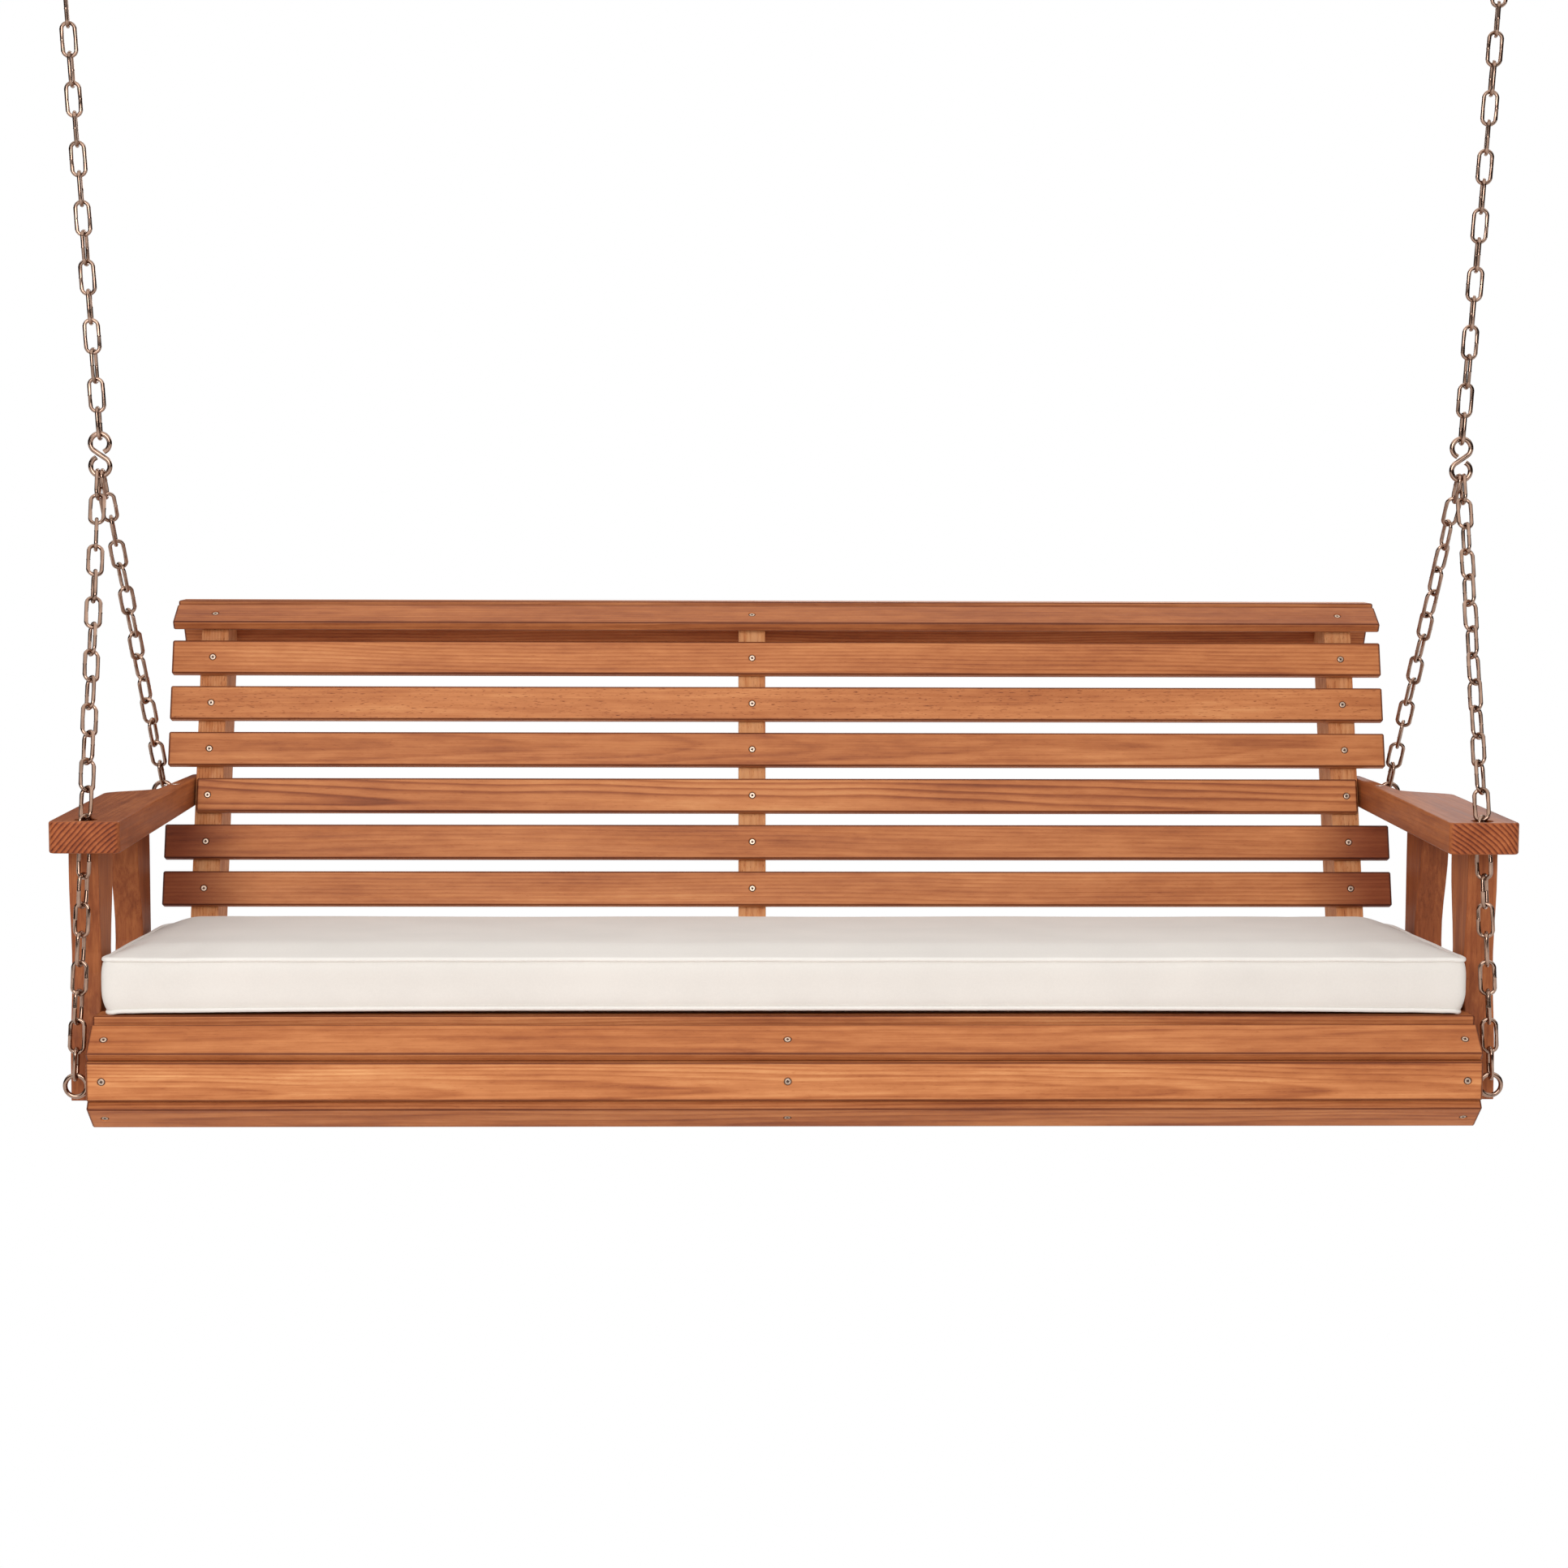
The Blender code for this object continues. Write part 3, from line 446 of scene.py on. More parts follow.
def zinc_plate(name, bright, rough, spots):
    """Zinc-plated steel: brushed grey with a warm cast, duller and browner in cloudy patches."""
    metal = bpy.data.materials.new(name)
    metal.use_nodes = True
    tree = metal.node_tree
    where = wire_up(tree, "TexCoord").outputs["Object"]
    clouds = wire_up(tree, "TexNoise", {"Vector": where, "Scale": 60.0, "Detail": 2.0}).outputs["Fac"]
    specks = wire_up(tree, "TexNoise", {"Vector": where, "Scale": 900.0, "Detail": 2.0}).outputs["Fac"]
    mixed = maths(tree, "MULTIPLY_ADD", specks, 0.3, clouds)
    dull = tuple(c * spots for c in bright)
    glossy = tuple(min(1, c * 1.15) for c in bright)
    tint = ramp_of(tree, mixed, [(0.45, dull), (0.75, bright), (0.95, glossy)])
    bump = wire_up(tree, "Bump", {"Height": mixed, "Strength": 0.06, "Distance": 0.0002})
    shader = tree.nodes["Principled BSDF"]
    shader.inputs["Metallic"].default_value = 1.0
    tree.links.new(tint, shader.inputs["Base Color"])
    tree.links.new(maths(tree, "MULTIPLY_ADD", clouds, 0.25, rough - 0.12), shader.inputs["Roughness"])
    tree.links.new(bump.outputs[0], shader.inputs["Normal"])
    return metal


screw_zinc = zinc_plate("screw_zinc", (0.66, 0.50, 0.39), 0.38, 0.7)
# A dark, non-metal material for the slot floors and countersink rings: painted shade of those recesses.
recess_shade_paint = zinc_plate("recess_shade_paint", (0.060, 0.020, 0.010), 0.7, 0.6)
recess_shade_paint.node_tree.nodes["Principled BSDF"].inputs["Metallic"].default_value = 0.0
blank = screw_blank()


def screw_group(name, places):
    """The screws of one group as one piece, and the tool that sinks their holes."""
    heads = bmesh.new()
    holes = bmesh.new()
    chance = random.Random(name)
    for place in places:
        first = len(heads.verts)
        heads.from_mesh(blank)
        spin = Matrix.Rotation(chance.uniform(0, math.pi), 4, "Z")
        heads.verts.ensure_lookup_table()
        bmesh.ops.transform(heads, matrix=place @ spin, verts=heads.verts[first:])
        bmesh.ops.create_cone(
            holes,
            cap_ends=True,
            segments=20,
            radius1=screw_head * 0.8,
            radius2=screw_bed + 0.0005,
            depth=0.0045,
            matrix=place @ Matrix.Translation((0, 0, -0.00175)),
        )
    mesh = bpy.data.meshes.new(name)
    heads.to_mesh(mesh)
    heads.free()
    piece_of(name, mesh, "bench", screw_zinc)
    # Second material: the painted shade in slot floors and countersinks.
    mesh.materials.append(recess_shade_paint)
    tool = loose_object(name + "_tool", holes)
    holes.free()
    tool.hide_render = True
    tool.display_type = "WIRE"
    tool.parent = frame["bodies"]["bench"]
    return tool


def middle_of(name):
    lo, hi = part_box(name)
    return (lo + hi) / 2


sides = ("left", "centre", "right")
support_xs = [middle_of("seat_support_" + side).x for side in sides]
upright_xs = [middle_of("back_upright_" + side).x for side in sides]
for group in ("roll", "seat", "back", "top"):
    names = [name for name in slat_leans if name.startswith(group)]
    xs = support_xs if group in ("roll", "seat") else upright_xs
    places = []
    for name in names:
        lean = math.radians(slat_leans[name])
        outward = Vector((0, -math.cos(lean), math.sin(lean)))
        middle = middle_of(name) + outward * slat_thick / 2
        for x in xs:
            face = outward.to_track_quat("Z", "X").to_matrix().to_4x4()
            places.append(Matrix.Translation((x, middle.y, middle.z)) @ face)
    tool = screw_group(group + "_slat_screws", places)
    for row, name in enumerate(names):
        chance = random.Random("tree " + name)
        pith = (chance.uniform(-0.07, 0.07), chance.uniform(0.02, 0.07))
        wood = {"pith": pith, "tone": 0.56, "rings": 0.2} | slat_woods.get(name, {})
        edge = (math.radians(slat_leans[name]), slat_width / 2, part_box(name)[1].x)
        slat = stained_board(name, "end to end", edge=edge, **wood)
        eased_edges(slat, 0.0009)
        sink = slat.modifiers.new("countersinks", "BOOLEAN")
        sink.object = tool
        sink.solver = "EXACT"
        slat.modifiers.move(len(slat.modifiers) - 1, 1)


# Arm posts: two planks at each end, sawn to a waist on both edges, fixed outside the supports under the
# arm. The grain runs up them.
for side, sign in (("left", -1), ("right", 1)):
    for place, tone in (("front", 0.38), ("rear", 0.27)):
        grain = {"tone": tone, "rings": 0.07, "gap": 0.006, "streaks": 0.4}
        post = stained_board(f"{place}_post_{side}", "upright", (0.05 * sign, 0.03), **grain)
        eased_edges(post, 0.0022, 3)


# Arms: one 40 mm plank at each end, wide in front and cut in behind, its front corners and edges rounded
# off. It is bored for the front chain, the rear eye bolt and the tail screw. The rings show as slanting
# lines on the sawn front end.
arm_corner = 0.0085
arm_rim = 0.0028
shoulder_start, shoulder_end = 0.335, 0.397  # where the outer edge runs in, from the front end
tail_width, tail_end_width, tail_corner = 0.0258, 0.0138, 0.008
chain_hole = (0.043, 0.021)  # the hole's middle from the arm's outer edge and front end
chain_hole_radius = 0.0140
eye_bore_radius = 0.0036
screw_bore_radius, screw_bore_depth = 0.0068, 0.025
through = 0.2  # longer than any way through the arm


def plan_arc(centre, radius, start, end, steps):
    angles = [math.radians(start + (end - start) * i / steps) for i in range(steps + 1)]
    return [(centre[0] + radius * math.cos(a), centre[1] + radius * math.sin(a)) for a in angles]


for side, sign in (("left", -1), ("right", 1)):
    grain = {"tone": 0.31, "rings": 0.05, "gap": 0.0054, "streaks": 0.30, "rough": 0.44}
    grain |= {"end_rings": 0.62, "end_lift": 0.26, "end_tint": (0.74, 0.58, 0.52)}
    wood = stained_board("arm_" + side, "front to back", (-sign * 0.16, 0.17), **grain).data.materials[0]
    lo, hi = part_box("arm_" + side)
    wide, long = hi.x - lo.x, hi.y - lo.y
    inner, outer = (hi.x, lo.x) if sign < 0 else (lo.x, hi.x)
    plan = plan_arc((arm_corner, arm_corner), arm_corner, 180, 270, 6)
    plan += plan_arc((wide - arm_corner, arm_corner), arm_corner, 270, 360, 6)
    for i in range(13):
        ease = (1 - math.cos(math.pi * i / 12)) / 2
        back = shoulder_start + (shoulder_end - shoulder_start) * i / 12
        plan.append((wide + (tail_width - wide) * ease, back))
    plan += plan_arc((tail_end_width - tail_corner, long - tail_corner), tail_corner, 0, 90, 5)
    plan.append((0, long))
    bm = bmesh.new()
    top = bm.faces.new([bm.verts.new((inner + sign * u, lo.y + v, hi.z)) for u, v in plan])
    pushed = bmesh.ops.extrude_face_region(bm, geom=[top])["geom"]
    pushed = [item for item in pushed if isinstance(item, bmesh.types.BMVert)]
    bmesh.ops.translate(bm, verts=pushed, vec=(0, 0, lo.z - hi.z))
    bmesh.ops.recalc_face_normals(bm, faces=bm.faces[:])
    rims = [e for e in bm.edges if abs(e.verts[0].co.z - e.verts[1].co.z) < 1e-6]
    bmesh.ops.bevel(bm, geom=rims, offset=arm_rim, segments=3, profile=0.5, affect="EDGES", material=-1)
    solid_arm = loose_object("solid_arm", bm)
    eye = middle_of("eye_bolt_rear_" + side)
    screw = middle_of("arm_tail_screw_" + side)
    chain_x = outer - sign * chain_hole[0]
    for centre, radius, depth, turn in (
        ((chain_x, lo.y + chain_hole[1], lo.z), chain_hole_radius, through, 0),
        ((inner, eye.y, eye.z), eye_bore_radius, through, math.pi / 2),
        ((screw.x, screw.y, hi.z), screw_bore_radius, 2 * screw_bore_depth, 0),
    ):
        place = Matrix.Translation(centre) @ Matrix.Rotation(turn, 4, "Y")
        bmesh.ops.create_cone(
            bm, cap_ends=True, segments=32, radius1=radius, radius2=radius, depth=depth, matrix=place
        )
    drills = loose_object("drills", bm)
    bm.free()
    solid_arm.modifiers.new("bores", "BOOLEAN").object = drills
    mesh = finished_mesh(solid_arm)
    bpy.data.objects.remove(drills, do_unlink=True)
    mesh.name = "arm_plank_" + side
    mesh.materials.clear()
    mesh.shade_smooth()
    plank = piece_of("arm_plank_" + side, mesh, "bench", wood)
    plank.modifiers.new("crisp bores", "EDGE_SPLIT").split_angle = math.radians(50)
    plank.modifiers.new("flat faces", "WEIGHTED_NORMAL").keep_sharp = True
    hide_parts("arm_" + side)


# Hardware kept from the frame: hex lag screws in the uprights, nuts on the eye bolts, and the big
# flat-headed screw in the tail of each arm, all zinc-plated.
hardware_zinc = zinc_plate("hardware_zinc", (0.60, 0.52, 0.45), 0.36, 0.6)
tail_zinc = zinc_plate("tail_zinc", (0.86, 0.80, 0.76), 0.30, 0.85)
for name, node in frame["nodes"].items():
    if name.startswith(("upright_lag", "eye_bolt_nut", "arm_tail_screw")):
        node.data.materials.clear()
        node.data.materials.append(tail_zinc if name.startswith("arm_tail") else hardware_zinc)
        eased_edges(node, 0.0004)


# Ceiling fittings: a pressed steel plate with rounded corners, a round bail welded under it, and two hex
# lag screws with washers up into the joist.
chain_zinc = zinc_plate("chain_zinc", (0.40, 0.265, 0.20), 0.15, 0.7)
bail_wire = 0.0040
bail_radius = 0.015
plate_size = (0.100, 0.050, 0.005)
plate_screw_x = 0.036  # each lag screw's distance from the plate's middle


def smooth_rod(points, radius, steps=16, closed=False):
    """A round bar bent smoothly through points, as a mesh with capped ends."""
    curve = bpy.data.curves.new("rod", "CURVE")
    curve.dimensions = "3D"
    curve.bevel_depth = radius
    curve.bevel_resolution = max(1, steps // 4)
    curve.resolution_u = 6
    curve.use_fill_caps = not closed
    spline = curve.splines.new("BEZIER")
    spline.bezier_points.add(len(points) - 1)
    for knot, point in zip(spline.bezier_points, points):
        knot.co = point
        knot.handle_left_type = knot.handle_right_type = "AUTO"
    spline.use_cyclic_u = closed
    bent = bpy.data.objects.new("rod", curve)
    scene.collection.objects.link(bent)
    return finished_mesh(bent)


def arc_points(centre, radius, start, end, steps, flip=1):
    """Points on an arc in the XZ plane, in degrees from +X."""
    angles = [math.radians(start + (end - start) * i / steps) for i in range(steps + 1)]
    return [
        Vector((centre[0] + flip * radius * math.cos(a), centre[1], centre[2] + radius * math.sin(a)))
        for a in angles
    ]


for side in ("left", "right"):
    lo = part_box("ceiling_hook_" + side)[0]
    middle = middle_of("ceiling_hook_" + side)
    bm = bmesh.new()
    plate = Matrix.Translation((middle.x, 0, -plate_size[2] / 2)) @ Matrix.Diagonal((*plate_size, 1))
    bmesh.ops.create_cube(bm, size=1, matrix=plate)
    corners = [e for e in bm.edges if abs(e.verts[0].co.z - e.verts[1].co.z) > 0.004]
    bmesh.ops.bevel(bm, geom=corners, offset=0.008, segments=5, profile=0.5, affect="EDGES", material=-1)
    rim = [e for e in bm.edges if e.verts[0].co.z < -0.004 and e.verts[1].co.z < -0.004]
    bmesh.ops.bevel(bm, geom=rim, offset=0.0012, segments=2, profile=0.5, affect="EDGES", material=-1)
    bend = lo.z + bail_wire + bail_radius
    knots = [Vector((middle.x - bail_radius, 0, z)) for z in (-0.004, -0.012)]
    knots += arc_points((middle.x, 0, bend), bail_radius, 180, 360, 8)
    knots += [Vector((middle.x + bail_radius, 0, z)) for z in (-0.012, -0.004)]
    bm.from_mesh(smooth_rod(knots, bail_wire))
    washer = (24, 0.0090, 0.0012, -0.0056)  # sides, radius, depth, height of the middle
    hex_head = (6, 0.0062, 0.0040, -0.0082)
    for offset in (-plate_screw_x, plate_screw_x):
        for sides, radius, depth, drop in (washer, hex_head):
            bmesh.ops.create_cone(
                bm,
                cap_ends=True,
                segments=sides,
                radius1=radius * 0.92,
                radius2=radius,
                depth=depth,
                matrix=Matrix.Translation((middle.x + offset, 0, drop)),
            )
    bmesh.ops.recalc_face_normals(bm, faces=bm.faces[:])
    mesh = bpy.data.meshes.new("ceiling_fitting_" + side)
    bm.to_mesh(mesh)
    bm.free()
    mesh.shade_smooth()
    fitting = piece_of("ceiling_fitting_" + side, mesh, "ceiling", hardware_zinc)
    fitting.modifiers.new("crisp corners", "EDGE_SPLIT").split_angle = math.radians(35)
    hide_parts("ceiling_hook_" + side)


# S-hooks: round rod bent to a nearly closed S. The top bend hangs in the last link from the ceiling, and
# the bench's two chains sit side by side in the lower bend.
hook_rod = 0.0034
hook_radius = 0.0125
hook_spread = 0.0150
for side, sign in (("left", -1), ("right", 1)):
    middle = middle_of("s_hook_" + side)
    knots = arc_points(middle + Vector((0, 0, hook_spread)), hook_radius, -66, 245, 14, -sign)
    knots += arc_points(middle - Vector((0, 0, hook_spread)), hook_radius, 65, -246, 14, -sign)
    mesh = smooth_rod(knots, hook_rod)
    hook = piece_of("chain_hook_" + side, mesh, "upper_chains", chain_zinc)
    mesh.shade_smooth()
    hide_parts("s_hook_" + side)


# Eye bolts: a closed eye on a threaded shank through the end support or the arm's tail, where the lower
# ends of the bench's chains are caught.
eye_wire = 0.0030
eye_radius = 0.0135


def eye_middle(name, sign):
    """Middle of an eye bolt's eye, which is at its outer end."""
    lo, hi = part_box(name)
    outer = lo.x if sign < 0 else hi.x
    return Vector((outer - sign * (eye_radius + eye_wire), (lo.y + hi.y) / 2, (lo.z + hi.z) / 2))


for place in ("front", "rear"):
    for side, sign in (("left", -1), ("right", 1)):
        name = f"eye_bolt_{place}_{side}"
        lo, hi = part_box(name)
        inner = hi.x if sign < 0 else lo.x
        centre = eye_middle(name, sign)
        bm = bmesh.new()
        profile = Matrix.Translation((eye_radius, 0, 0)) @ Matrix.Rotation(math.pi / 2, 4, "X")
        bmesh.ops.create_circle(bm, segments=12, radius=eye_wire, matrix=profile)
        ring = bm.verts[:] + bm.edges[:]
        bmesh.ops.spin(bm, geom=ring, axis=(0, 0, 1), angle=2 * math.pi, steps=36, use_merge=True)
        bmesh.ops.rotate(bm, verts=bm.verts[:], matrix=Matrix.Rotation(math.pi / 2, 3, "X"))
        length = abs(inner - centre.x) - eye_radius + 0.001
        lay = Matrix.Translation((-sign * (eye_radius - 0.001 + length / 2), 0, 0))
        lay = lay @ Matrix.Rotation(math.pi / 2, 4, "Y")
        bmesh.ops.create_cone(
            bm, cap_ends=True, segments=16, radius1=eye_wire, radius2=eye_wire, depth=length, matrix=lay
        )
        bmesh.ops.translate(bm, verts=bm.verts[:], vec=centre)
        bmesh.ops.recalc_face_normals(bm, faces=bm.faces[:])
        mesh = bpy.data.meshes.new("chain_" + name)
        bm.to_mesh(mesh)
        bm.free()
        mesh.shade_smooth()
        bolt = piece_of("chain_" + name, mesh, "bench", chain_zinc)
        bolt.modifiers.new("crisp ends", "EDGE_SPLIT").split_angle = math.radians(50)
        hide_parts(name)


# Chains: welded oval links of 5 mm zinc-plated wire, each hung square to the last but for a little
# twist. A run from the ceiling ends at each S-hook; from there one run goes down through the arm to the
# front eye bolt and one back to the rear eye bolt.
link_wire = 0.0025
link_width = 0.0180


def link_blank():
    """A round link before it is drawn out, in the XY plane, and welded at the middle of one side."""
    bm = bmesh.new()
    profile = Matrix.Translation((link_width / 2, 0, 0)) @ Matrix.Rotation(math.pi / 2, 4, "X")
    bmesh.ops.create_circle(bm, segments=10, radius=link_wire, matrix=profile)
    ring = bm.verts[:] + bm.edges[:]
    bmesh.ops.spin(bm, geom=ring, axis=(0, 0, 1), angle=2 * math.pi, steps=20, use_merge=True)
    bmesh.ops.rotate(bm, verts=bm.verts[:], matrix=Matrix.Rotation(math.radians(9), 3, "Z"))
    for y in (-0.0012, 0.0, 0.0012):
        everything = bm.verts[:] + bm.edges[:] + bm.faces[:]
        bmesh.ops.bisect_plane(bm, geom=everything, plane_co=(0, y, 0), plane_no=(0, 1, 0), dist=1e-7)
    weld = [v for v in bm.verts if abs(v.co.y) < 0.0002 and v.co.x > 0]
    bmesh.ops.scale(
        bm, verts=weld, vec=(1.14, 1, 1.14), space=Matrix.Translation((-link_width / 2, 0, 0))
    )
    bmesh.ops.recalc_face_normals(bm, faces=bm.faces[:])
    mesh = bpy.data.meshes.new("link_blank")
    bm.to_mesh(mesh)
    bm.free()
    mesh.shade_smooth()
    return mesh


link = link_blank()


def caught(rod, pulled_to, rod_radius):
    """Middle of the end of a link that is caught round a rod and pulled towards a point."""
    return rod - (pulled_to - rod).normalized() * (rod_radius + link_wire)


def chain_run(name, stops, counts, body):
    bm = bmesh.new()
    chance = random.Random(name)
    turns = sum(counts) - 1
    quarter = math.pi * round(turns / 2) / turns
    made = 0
    for first, last, count in zip(stops, stops[1:], counts):
        step = (last - first) / count
        reach = step.normalized() * (link_wire - 0.00005)
        for i in range(count):
            low, high = first + step * i, first + step * (i + 1)
            if made > 0:
                low = low - reach
            if made < turns:
                high = high + reach
            wobble = 0 if made in (0, turns) else math.radians(chance.uniform(-9, 9))
            along = (high - low).normalized()
            across = Vector((0, 1, 0))
            across = (across - along * across.dot(along)).normalized()
            across = Matrix.Rotation(quarter * made + wobble, 3, along) @ across
            axes = Matrix((across, along, across.cross(along))).transposed()
            place = Matrix.Translation((low + high) / 2) @ axes.to_4x4()
            stretch = (high - low).length / 2 - link_width / 2
            start = len(bm.verts)
            bm.from_mesh(link)
            bm.verts.ensure_lookup_table()
            for vert in bm.verts[start:]:
                if abs(vert.co.y) > 0.00125:
                    vert.co.y += math.copysign(stretch, vert.co.y)
                vert.co = place @ vert.co
            made += 1
    mesh = bpy.data.meshes.new(name + "_links")
    bm.to_mesh(mesh)
    bm.free()
    run = piece_of(name + "_links", mesh, body, chain_zinc)
    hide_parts(name)


upper_links, front_links, rear_links = [17], [13, 9], [14]
bridle_spread = 0.0027  # the two lower runs' distance from the middle of the S-hook
hole_bend = 0.003  # the front run bends this far above the arm
for side, sign in (("left", -1), ("right", 1)):
    bail = middle_of("ceiling_hook_" + side)
    bail = Vector((bail.x, 0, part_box("ceiling_hook_" + side)[0].z + bail_wire))
    hook_lo, hook_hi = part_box("s_hook_" + side)
    hook_x = (hook_lo.x + hook_hi.x) / 2
    hook_top = Vector((hook_x, 0, hook_hi.z - hook_rod))
    stops = [caught(bail, hook_top, bail_wire), caught(hook_top, bail, hook_rod)]
    chain_run("ceiling_chain_" + side, stops, upper_links, "upper_chains")

    eye_top = Vector((0, 0, eye_radius))
    front_eye, rear_eye = (
        eye_middle(f"eye_bolt_{place}_{side}", sign) + eye_top for place in ("front", "rear")
    )
    arm_lo, arm_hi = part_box("arm_" + side)
    arm_edge = arm_lo.x if sign < 0 else arm_hi.x
    hole = Vector((arm_edge - sign * chain_hole[0], arm_lo.y + chain_hole[1], arm_hi.z + hole_bend))
    low_hook = Vector((hook_x + sign * bridle_spread, 0, hook_lo.z + hook_rod))
    stops = [caught(low_hook, hole, hook_rod), hole, caught(front_eye, hole, eye_wire)]
    chain_run("front_chain_" + side, stops, front_links, "bench")
    low_hook.x = hook_x - sign * bridle_spread
    stops = [caught(low_hook, rear_eye, hook_rod), caught(rear_eye, low_hook, eye_wire)]
    chain_run("rear_chain_" + side, stops, rear_links, "bench")


# Cushion: a foam slab in a boxed cover of cream woven cloth, with a welt sewn round its top and bottom
# edges. It lies loose on the slats; the foam crowns it and puffs the boxing out between the welts.
slide = next(joint for joint in frame["joints"] if joint["name"] == "cushion_slide")
pull = Vector(slide["axis"])
slope = math.atan2(pull.z, -pull.y)
cushion_place = Matrix.Translation(slide["pos_m"]) @ Matrix.Rotation(-slope, 4, "X")
half_length, cushion_depth, cushion_thick = 0.8535, 0.446, 0.071
front_corner, rear_corner = 0.014, 0.034
bm = bmesh.new()
slab = Matrix.Translation((0, cushion_depth / 2 + 0.002, cushion_thick / 2))
slab = slab @ Matrix.Diagonal((2 * half_length, cushion_depth, cushion_thick, 1))
bmesh.ops.create_cube(bm, size=1, matrix=slab)
for front, corner in ((True, front_corner), (False, rear_corner)):
    edges = [e for e in bm.edges if abs(e.verts[0].co.z - e.verts[1].co.z) > 0.05]
    edges = [e for e in edges if (e.verts[0].co.y < cushion_depth / 2) == front]
    bmesh.ops.bevel(bm, geom=edges, offset=corner, segments=6, profile=0.5, affect="EDGES", material=-1)
rims = {}
for level, z in (("top", cushion_thick), ("bottom", 0.0)):
    face = next(f for f in bm.faces if all(abs(v.co.z - z) < 1e-5 for v in f.verts))
    rims[level] = [v.co.copy() for v in face.verts]
plain_slab = loose_object("plain_slab", bm)
bm.free()
remesh = plain_slab.modifiers.new("remesh", "REMESH")
remesh.mode = "VOXEL"
remesh.voxel_size = 0.006
cushion = bpy.data.objects.new("cushion_cover", finished_mesh(plain_slab))
scene.collection.objects.link(cushion)
at_rest = [v.co.copy() for v in cushion.data.vertices]
cloth = cushion.modifiers.new("cloth", "CLOTH")
cloth.settings.use_pressure = True
cloth.settings.uniform_pressure_force = 4.0
cloth.settings.effector_weights.gravity = 0.0
cloth.point_cache.frame_start = 1
cloth.point_cache.frame_end = 20
for step in range(1, 21):
    scene.frame_set(step)
simulated = cushion.evaluated_get(bpy.context.evaluated_depsgraph_get()).to_mesh()
puffed = [v.co.copy() for v in simulated.vertices]
cushion.modifiers.clear()
scene.frame_set(1)


def seam_points(rim, spacing=0.006):
    """A welt's path: a rim walked round in even steps."""
    points = []
    for a, b in zip(rim, rim[1:] + rim[:1]):
        steps = max(1, round((b - a).length / spacing))
        points += [a.lerp(b, i / steps) for i in range(steps)]
    return points


seams = {level: seam_points(rim) for level, rim in rims.items()}
seam_tree = KDTree(sum(len(path) for path in seams.values()))
for index, point in enumerate(seams["top"] + seams["bottom"]):
    seam_tree.insert(point, index)
seam_tree.balance()
seam_give, side_give, crown_give = 0.0015, 0.0050, 0.0125  # how far the cover may puff
front_lift = 0.0055  # the front's lower seam rides up this far in the middle
end_belly, front_belly = 0.0045, 0.0020  # how far the boxing stands out at mid-height
corner_tuck = 0.0050
for vert, rest, moved in zip(cushion.data.vertices, at_rest, puffed):
    push = moved - rest
    from_seam = min(1.0, seam_tree.find(rest)[2] / 0.05)
    most = seam_give + (crown_give if rest.z > 0.06 else side_give) * from_seam
    if push.length > most:
        push = push.normalized() * most
    ends = min(1.0, abs(rest.x) / half_length) ** 4
    lift = front_lift * (1 - ends) * max(0.0, 1 - rest.y / 0.05) * max(0.0, 1 - rest.z / 0.03)
    spot = rest + push + Vector((0, 0, lift))
    if rest.z > 0.01:
        spot.z += noise.noise(Vector((rest.x * 6, rest.y * 9, rest.z * 16))) * 0.0009
    spot.z = max(spot.z, 0.0)
    belly = 1 - (2 * rest.z / cushion_thick - 1) ** 2
    if abs(rest.x) > half_length - 0.012:
        outward = end_belly * belly - corner_tuck * max(0.0, 1 - rest.z / 0.022)
        spot.x += math.copysign(1, rest.x) * outward
    if rest.y < 0.012:
        spot.y -= front_belly * belly
    vert.co = spot
smooth = bmesh.new()
smooth.from_mesh(cushion.data)
for _ in range(4):
    bmesh.ops.smooth_vert(
        smooth, verts=smooth.verts[:], factor=0.5, use_axis_x=True, use_axis_y=True, use_axis_z=True
    )
smooth.to_mesh(cushion.data)
smooth.free()
surface_tree = KDTree(len(at_rest))
for index, co in enumerate(at_rest):
    surface_tree.insert(co, index)
surface_tree.balance()
settled = [v.co.copy() for v in cushion.data.vertices]


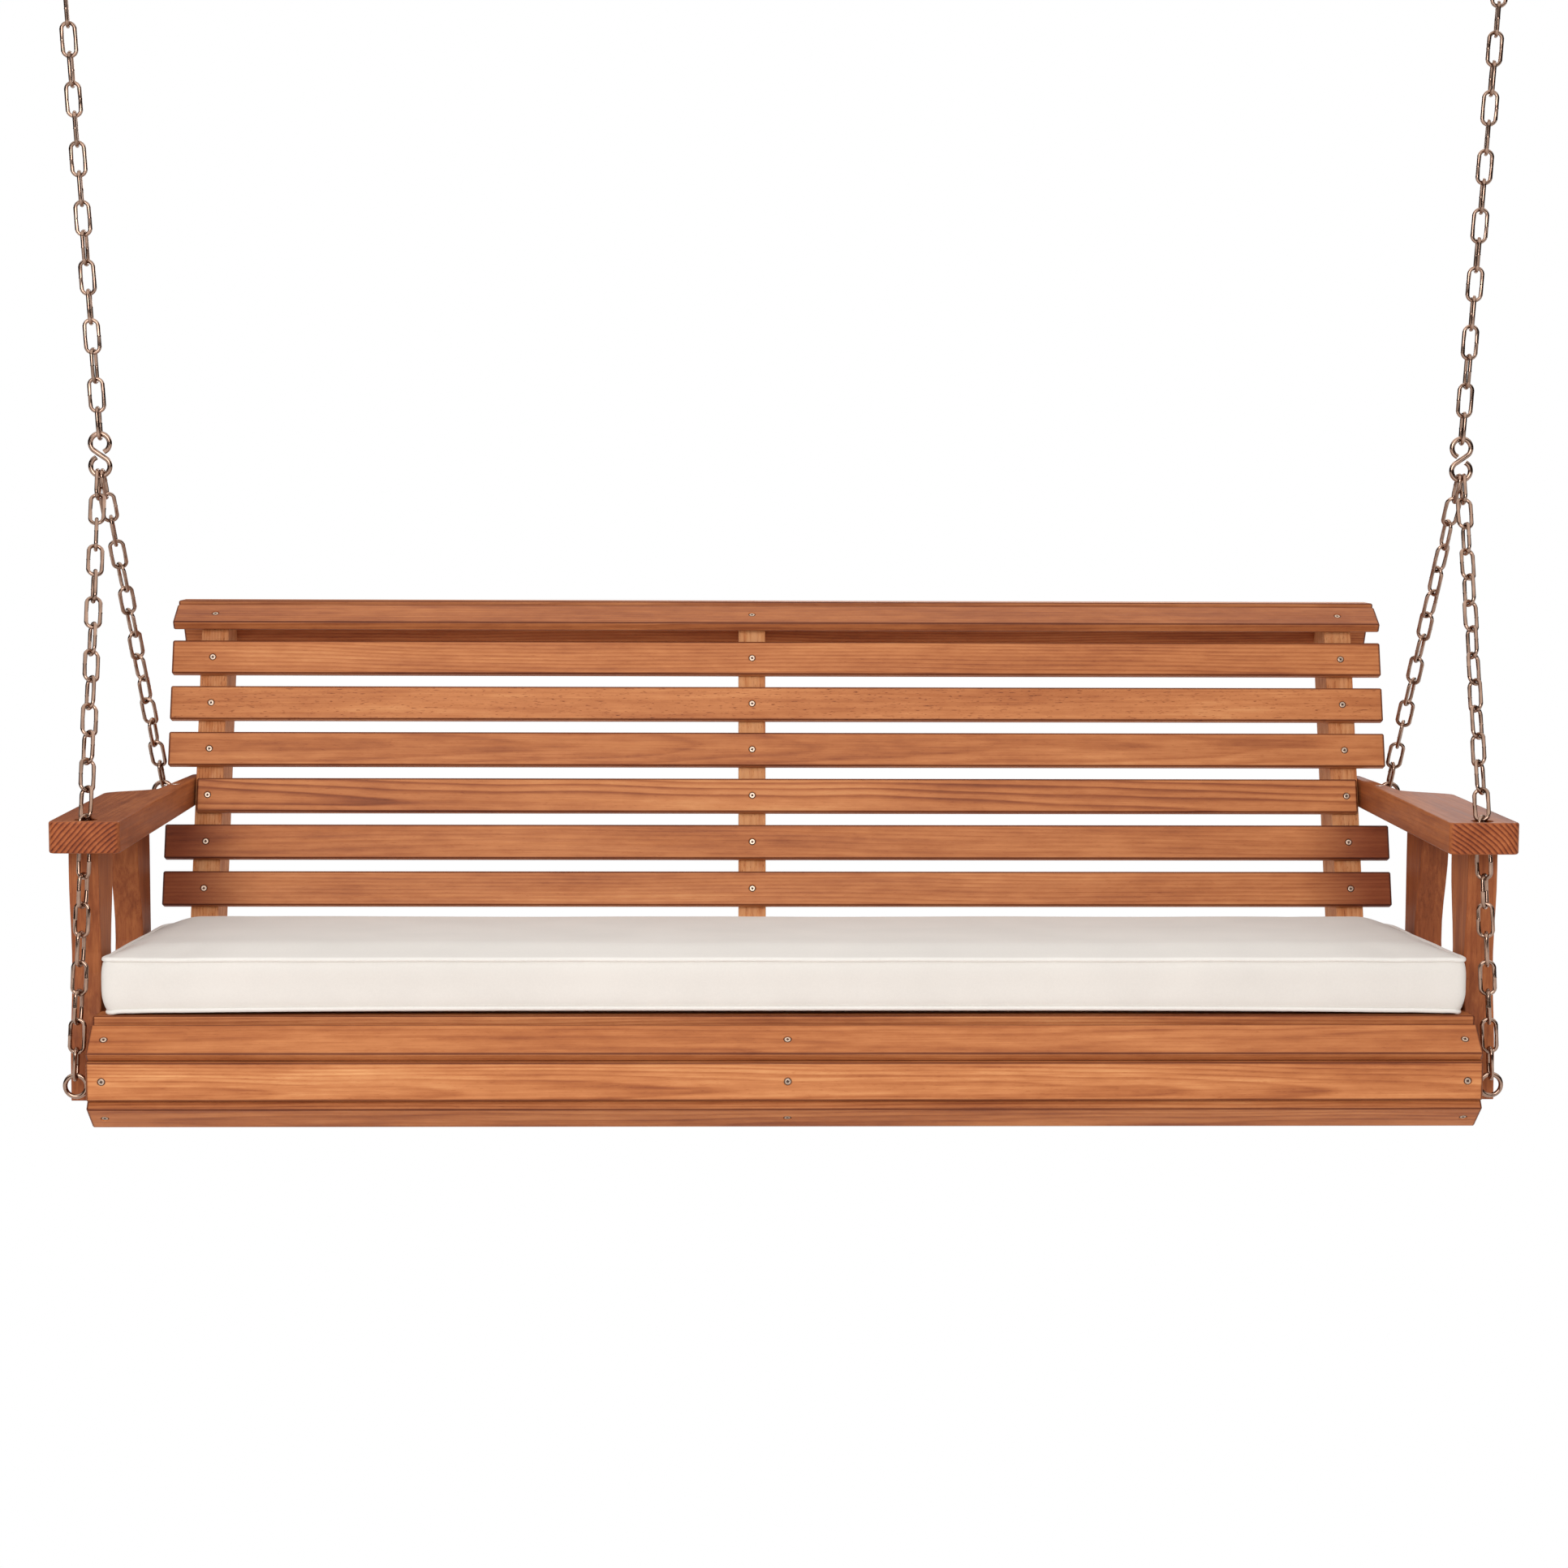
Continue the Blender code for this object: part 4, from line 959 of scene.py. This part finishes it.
def cotton(name, tint):
    """Cream plain-weave cloth: a fine raised weave, slubs, and a soft bloom of loose fibres."""
    cloth = bpy.data.materials.new(name)
    cloth.use_nodes = True
    tree = cloth.node_tree
    where = wire_up(tree, "TexCoord").outputs["Object"]
    axes = wire_up(tree, "SeparateXYZ", {0: where}).outputs
    thread = 0.0011
    threads = []
    for axis in ("X", "Y"):
        both = maths(tree, "ADD", axes[axis], axes["Z"])
        threads.append(maths(tree, "SINE", maths(tree, "MULTIPLY", both, 2 * math.pi / thread)))
    weave = maths(tree, "MULTIPLY", *threads)
    slubs = wire_up(tree, "TexNoise", {"Vector": where, "Scale": 420.0, "Detail": 3.0}).outputs["Fac"]
    soft = wire_up(tree, "TexNoise", {"Vector": where, "Scale": 9.0, "Detail": 2.0}).outputs["Fac"]
    tone = maths(tree, "MULTIPLY_ADD", weave, 0.05, maths(tree, "MULTIPLY_ADD", slubs, 0.5, soft))
    colour = ramp_of(tree, tone, [(0.45, tuple(c * 0.93 for c in tint)), (0.95, tint)])
    height = maths(tree, "MULTIPLY_ADD", slubs, 1.5, weave)
    bump = wire_up(tree, "Bump", {"Height": height, "Strength": 0.5, "Distance": 0.00012})
    shader = tree.nodes["Principled BSDF"]
    shader.inputs["Roughness"].default_value = 0.92
    shader.inputs["Specular IOR Level"].default_value = 0.2
    shader.inputs["Sheen Weight"].default_value = 0.12
    shader.inputs["Sheen Roughness"].default_value = 0.5
    tree.links.new(colour, shader.inputs["Base Color"])
    tree.links.new(bump.outputs[0], shader.inputs["Normal"])
    return cloth


cover_cloth = cotton("cover_cloth", (0.735, 0.69, 0.64))
welt_cloth = cotton("welt_cloth", (0.80, 0.76, 0.71))
cushion.data.transform(cushion_place)
cushion.data.materials.clear()
cushion.data.materials.append(cover_cloth)
cushion.data.shade_smooth()
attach(cushion, "cushion")
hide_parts("seat_cushion")
welt_radius = 0.0030
for level, path in seams.items():
    knots = []
    for point in path[::3]:
        index = surface_tree.find(point)[1]
        knots.append(settled[index] + (point - at_rest[index]) * 0.35)
    mesh = smooth_rod(knots, welt_radius, 12, closed=True)
    mesh.transform(cushion_place)
    mesh.shade_smooth()
    piece_of("cushion_welt_" + level, mesh, "cushion", welt_cloth)
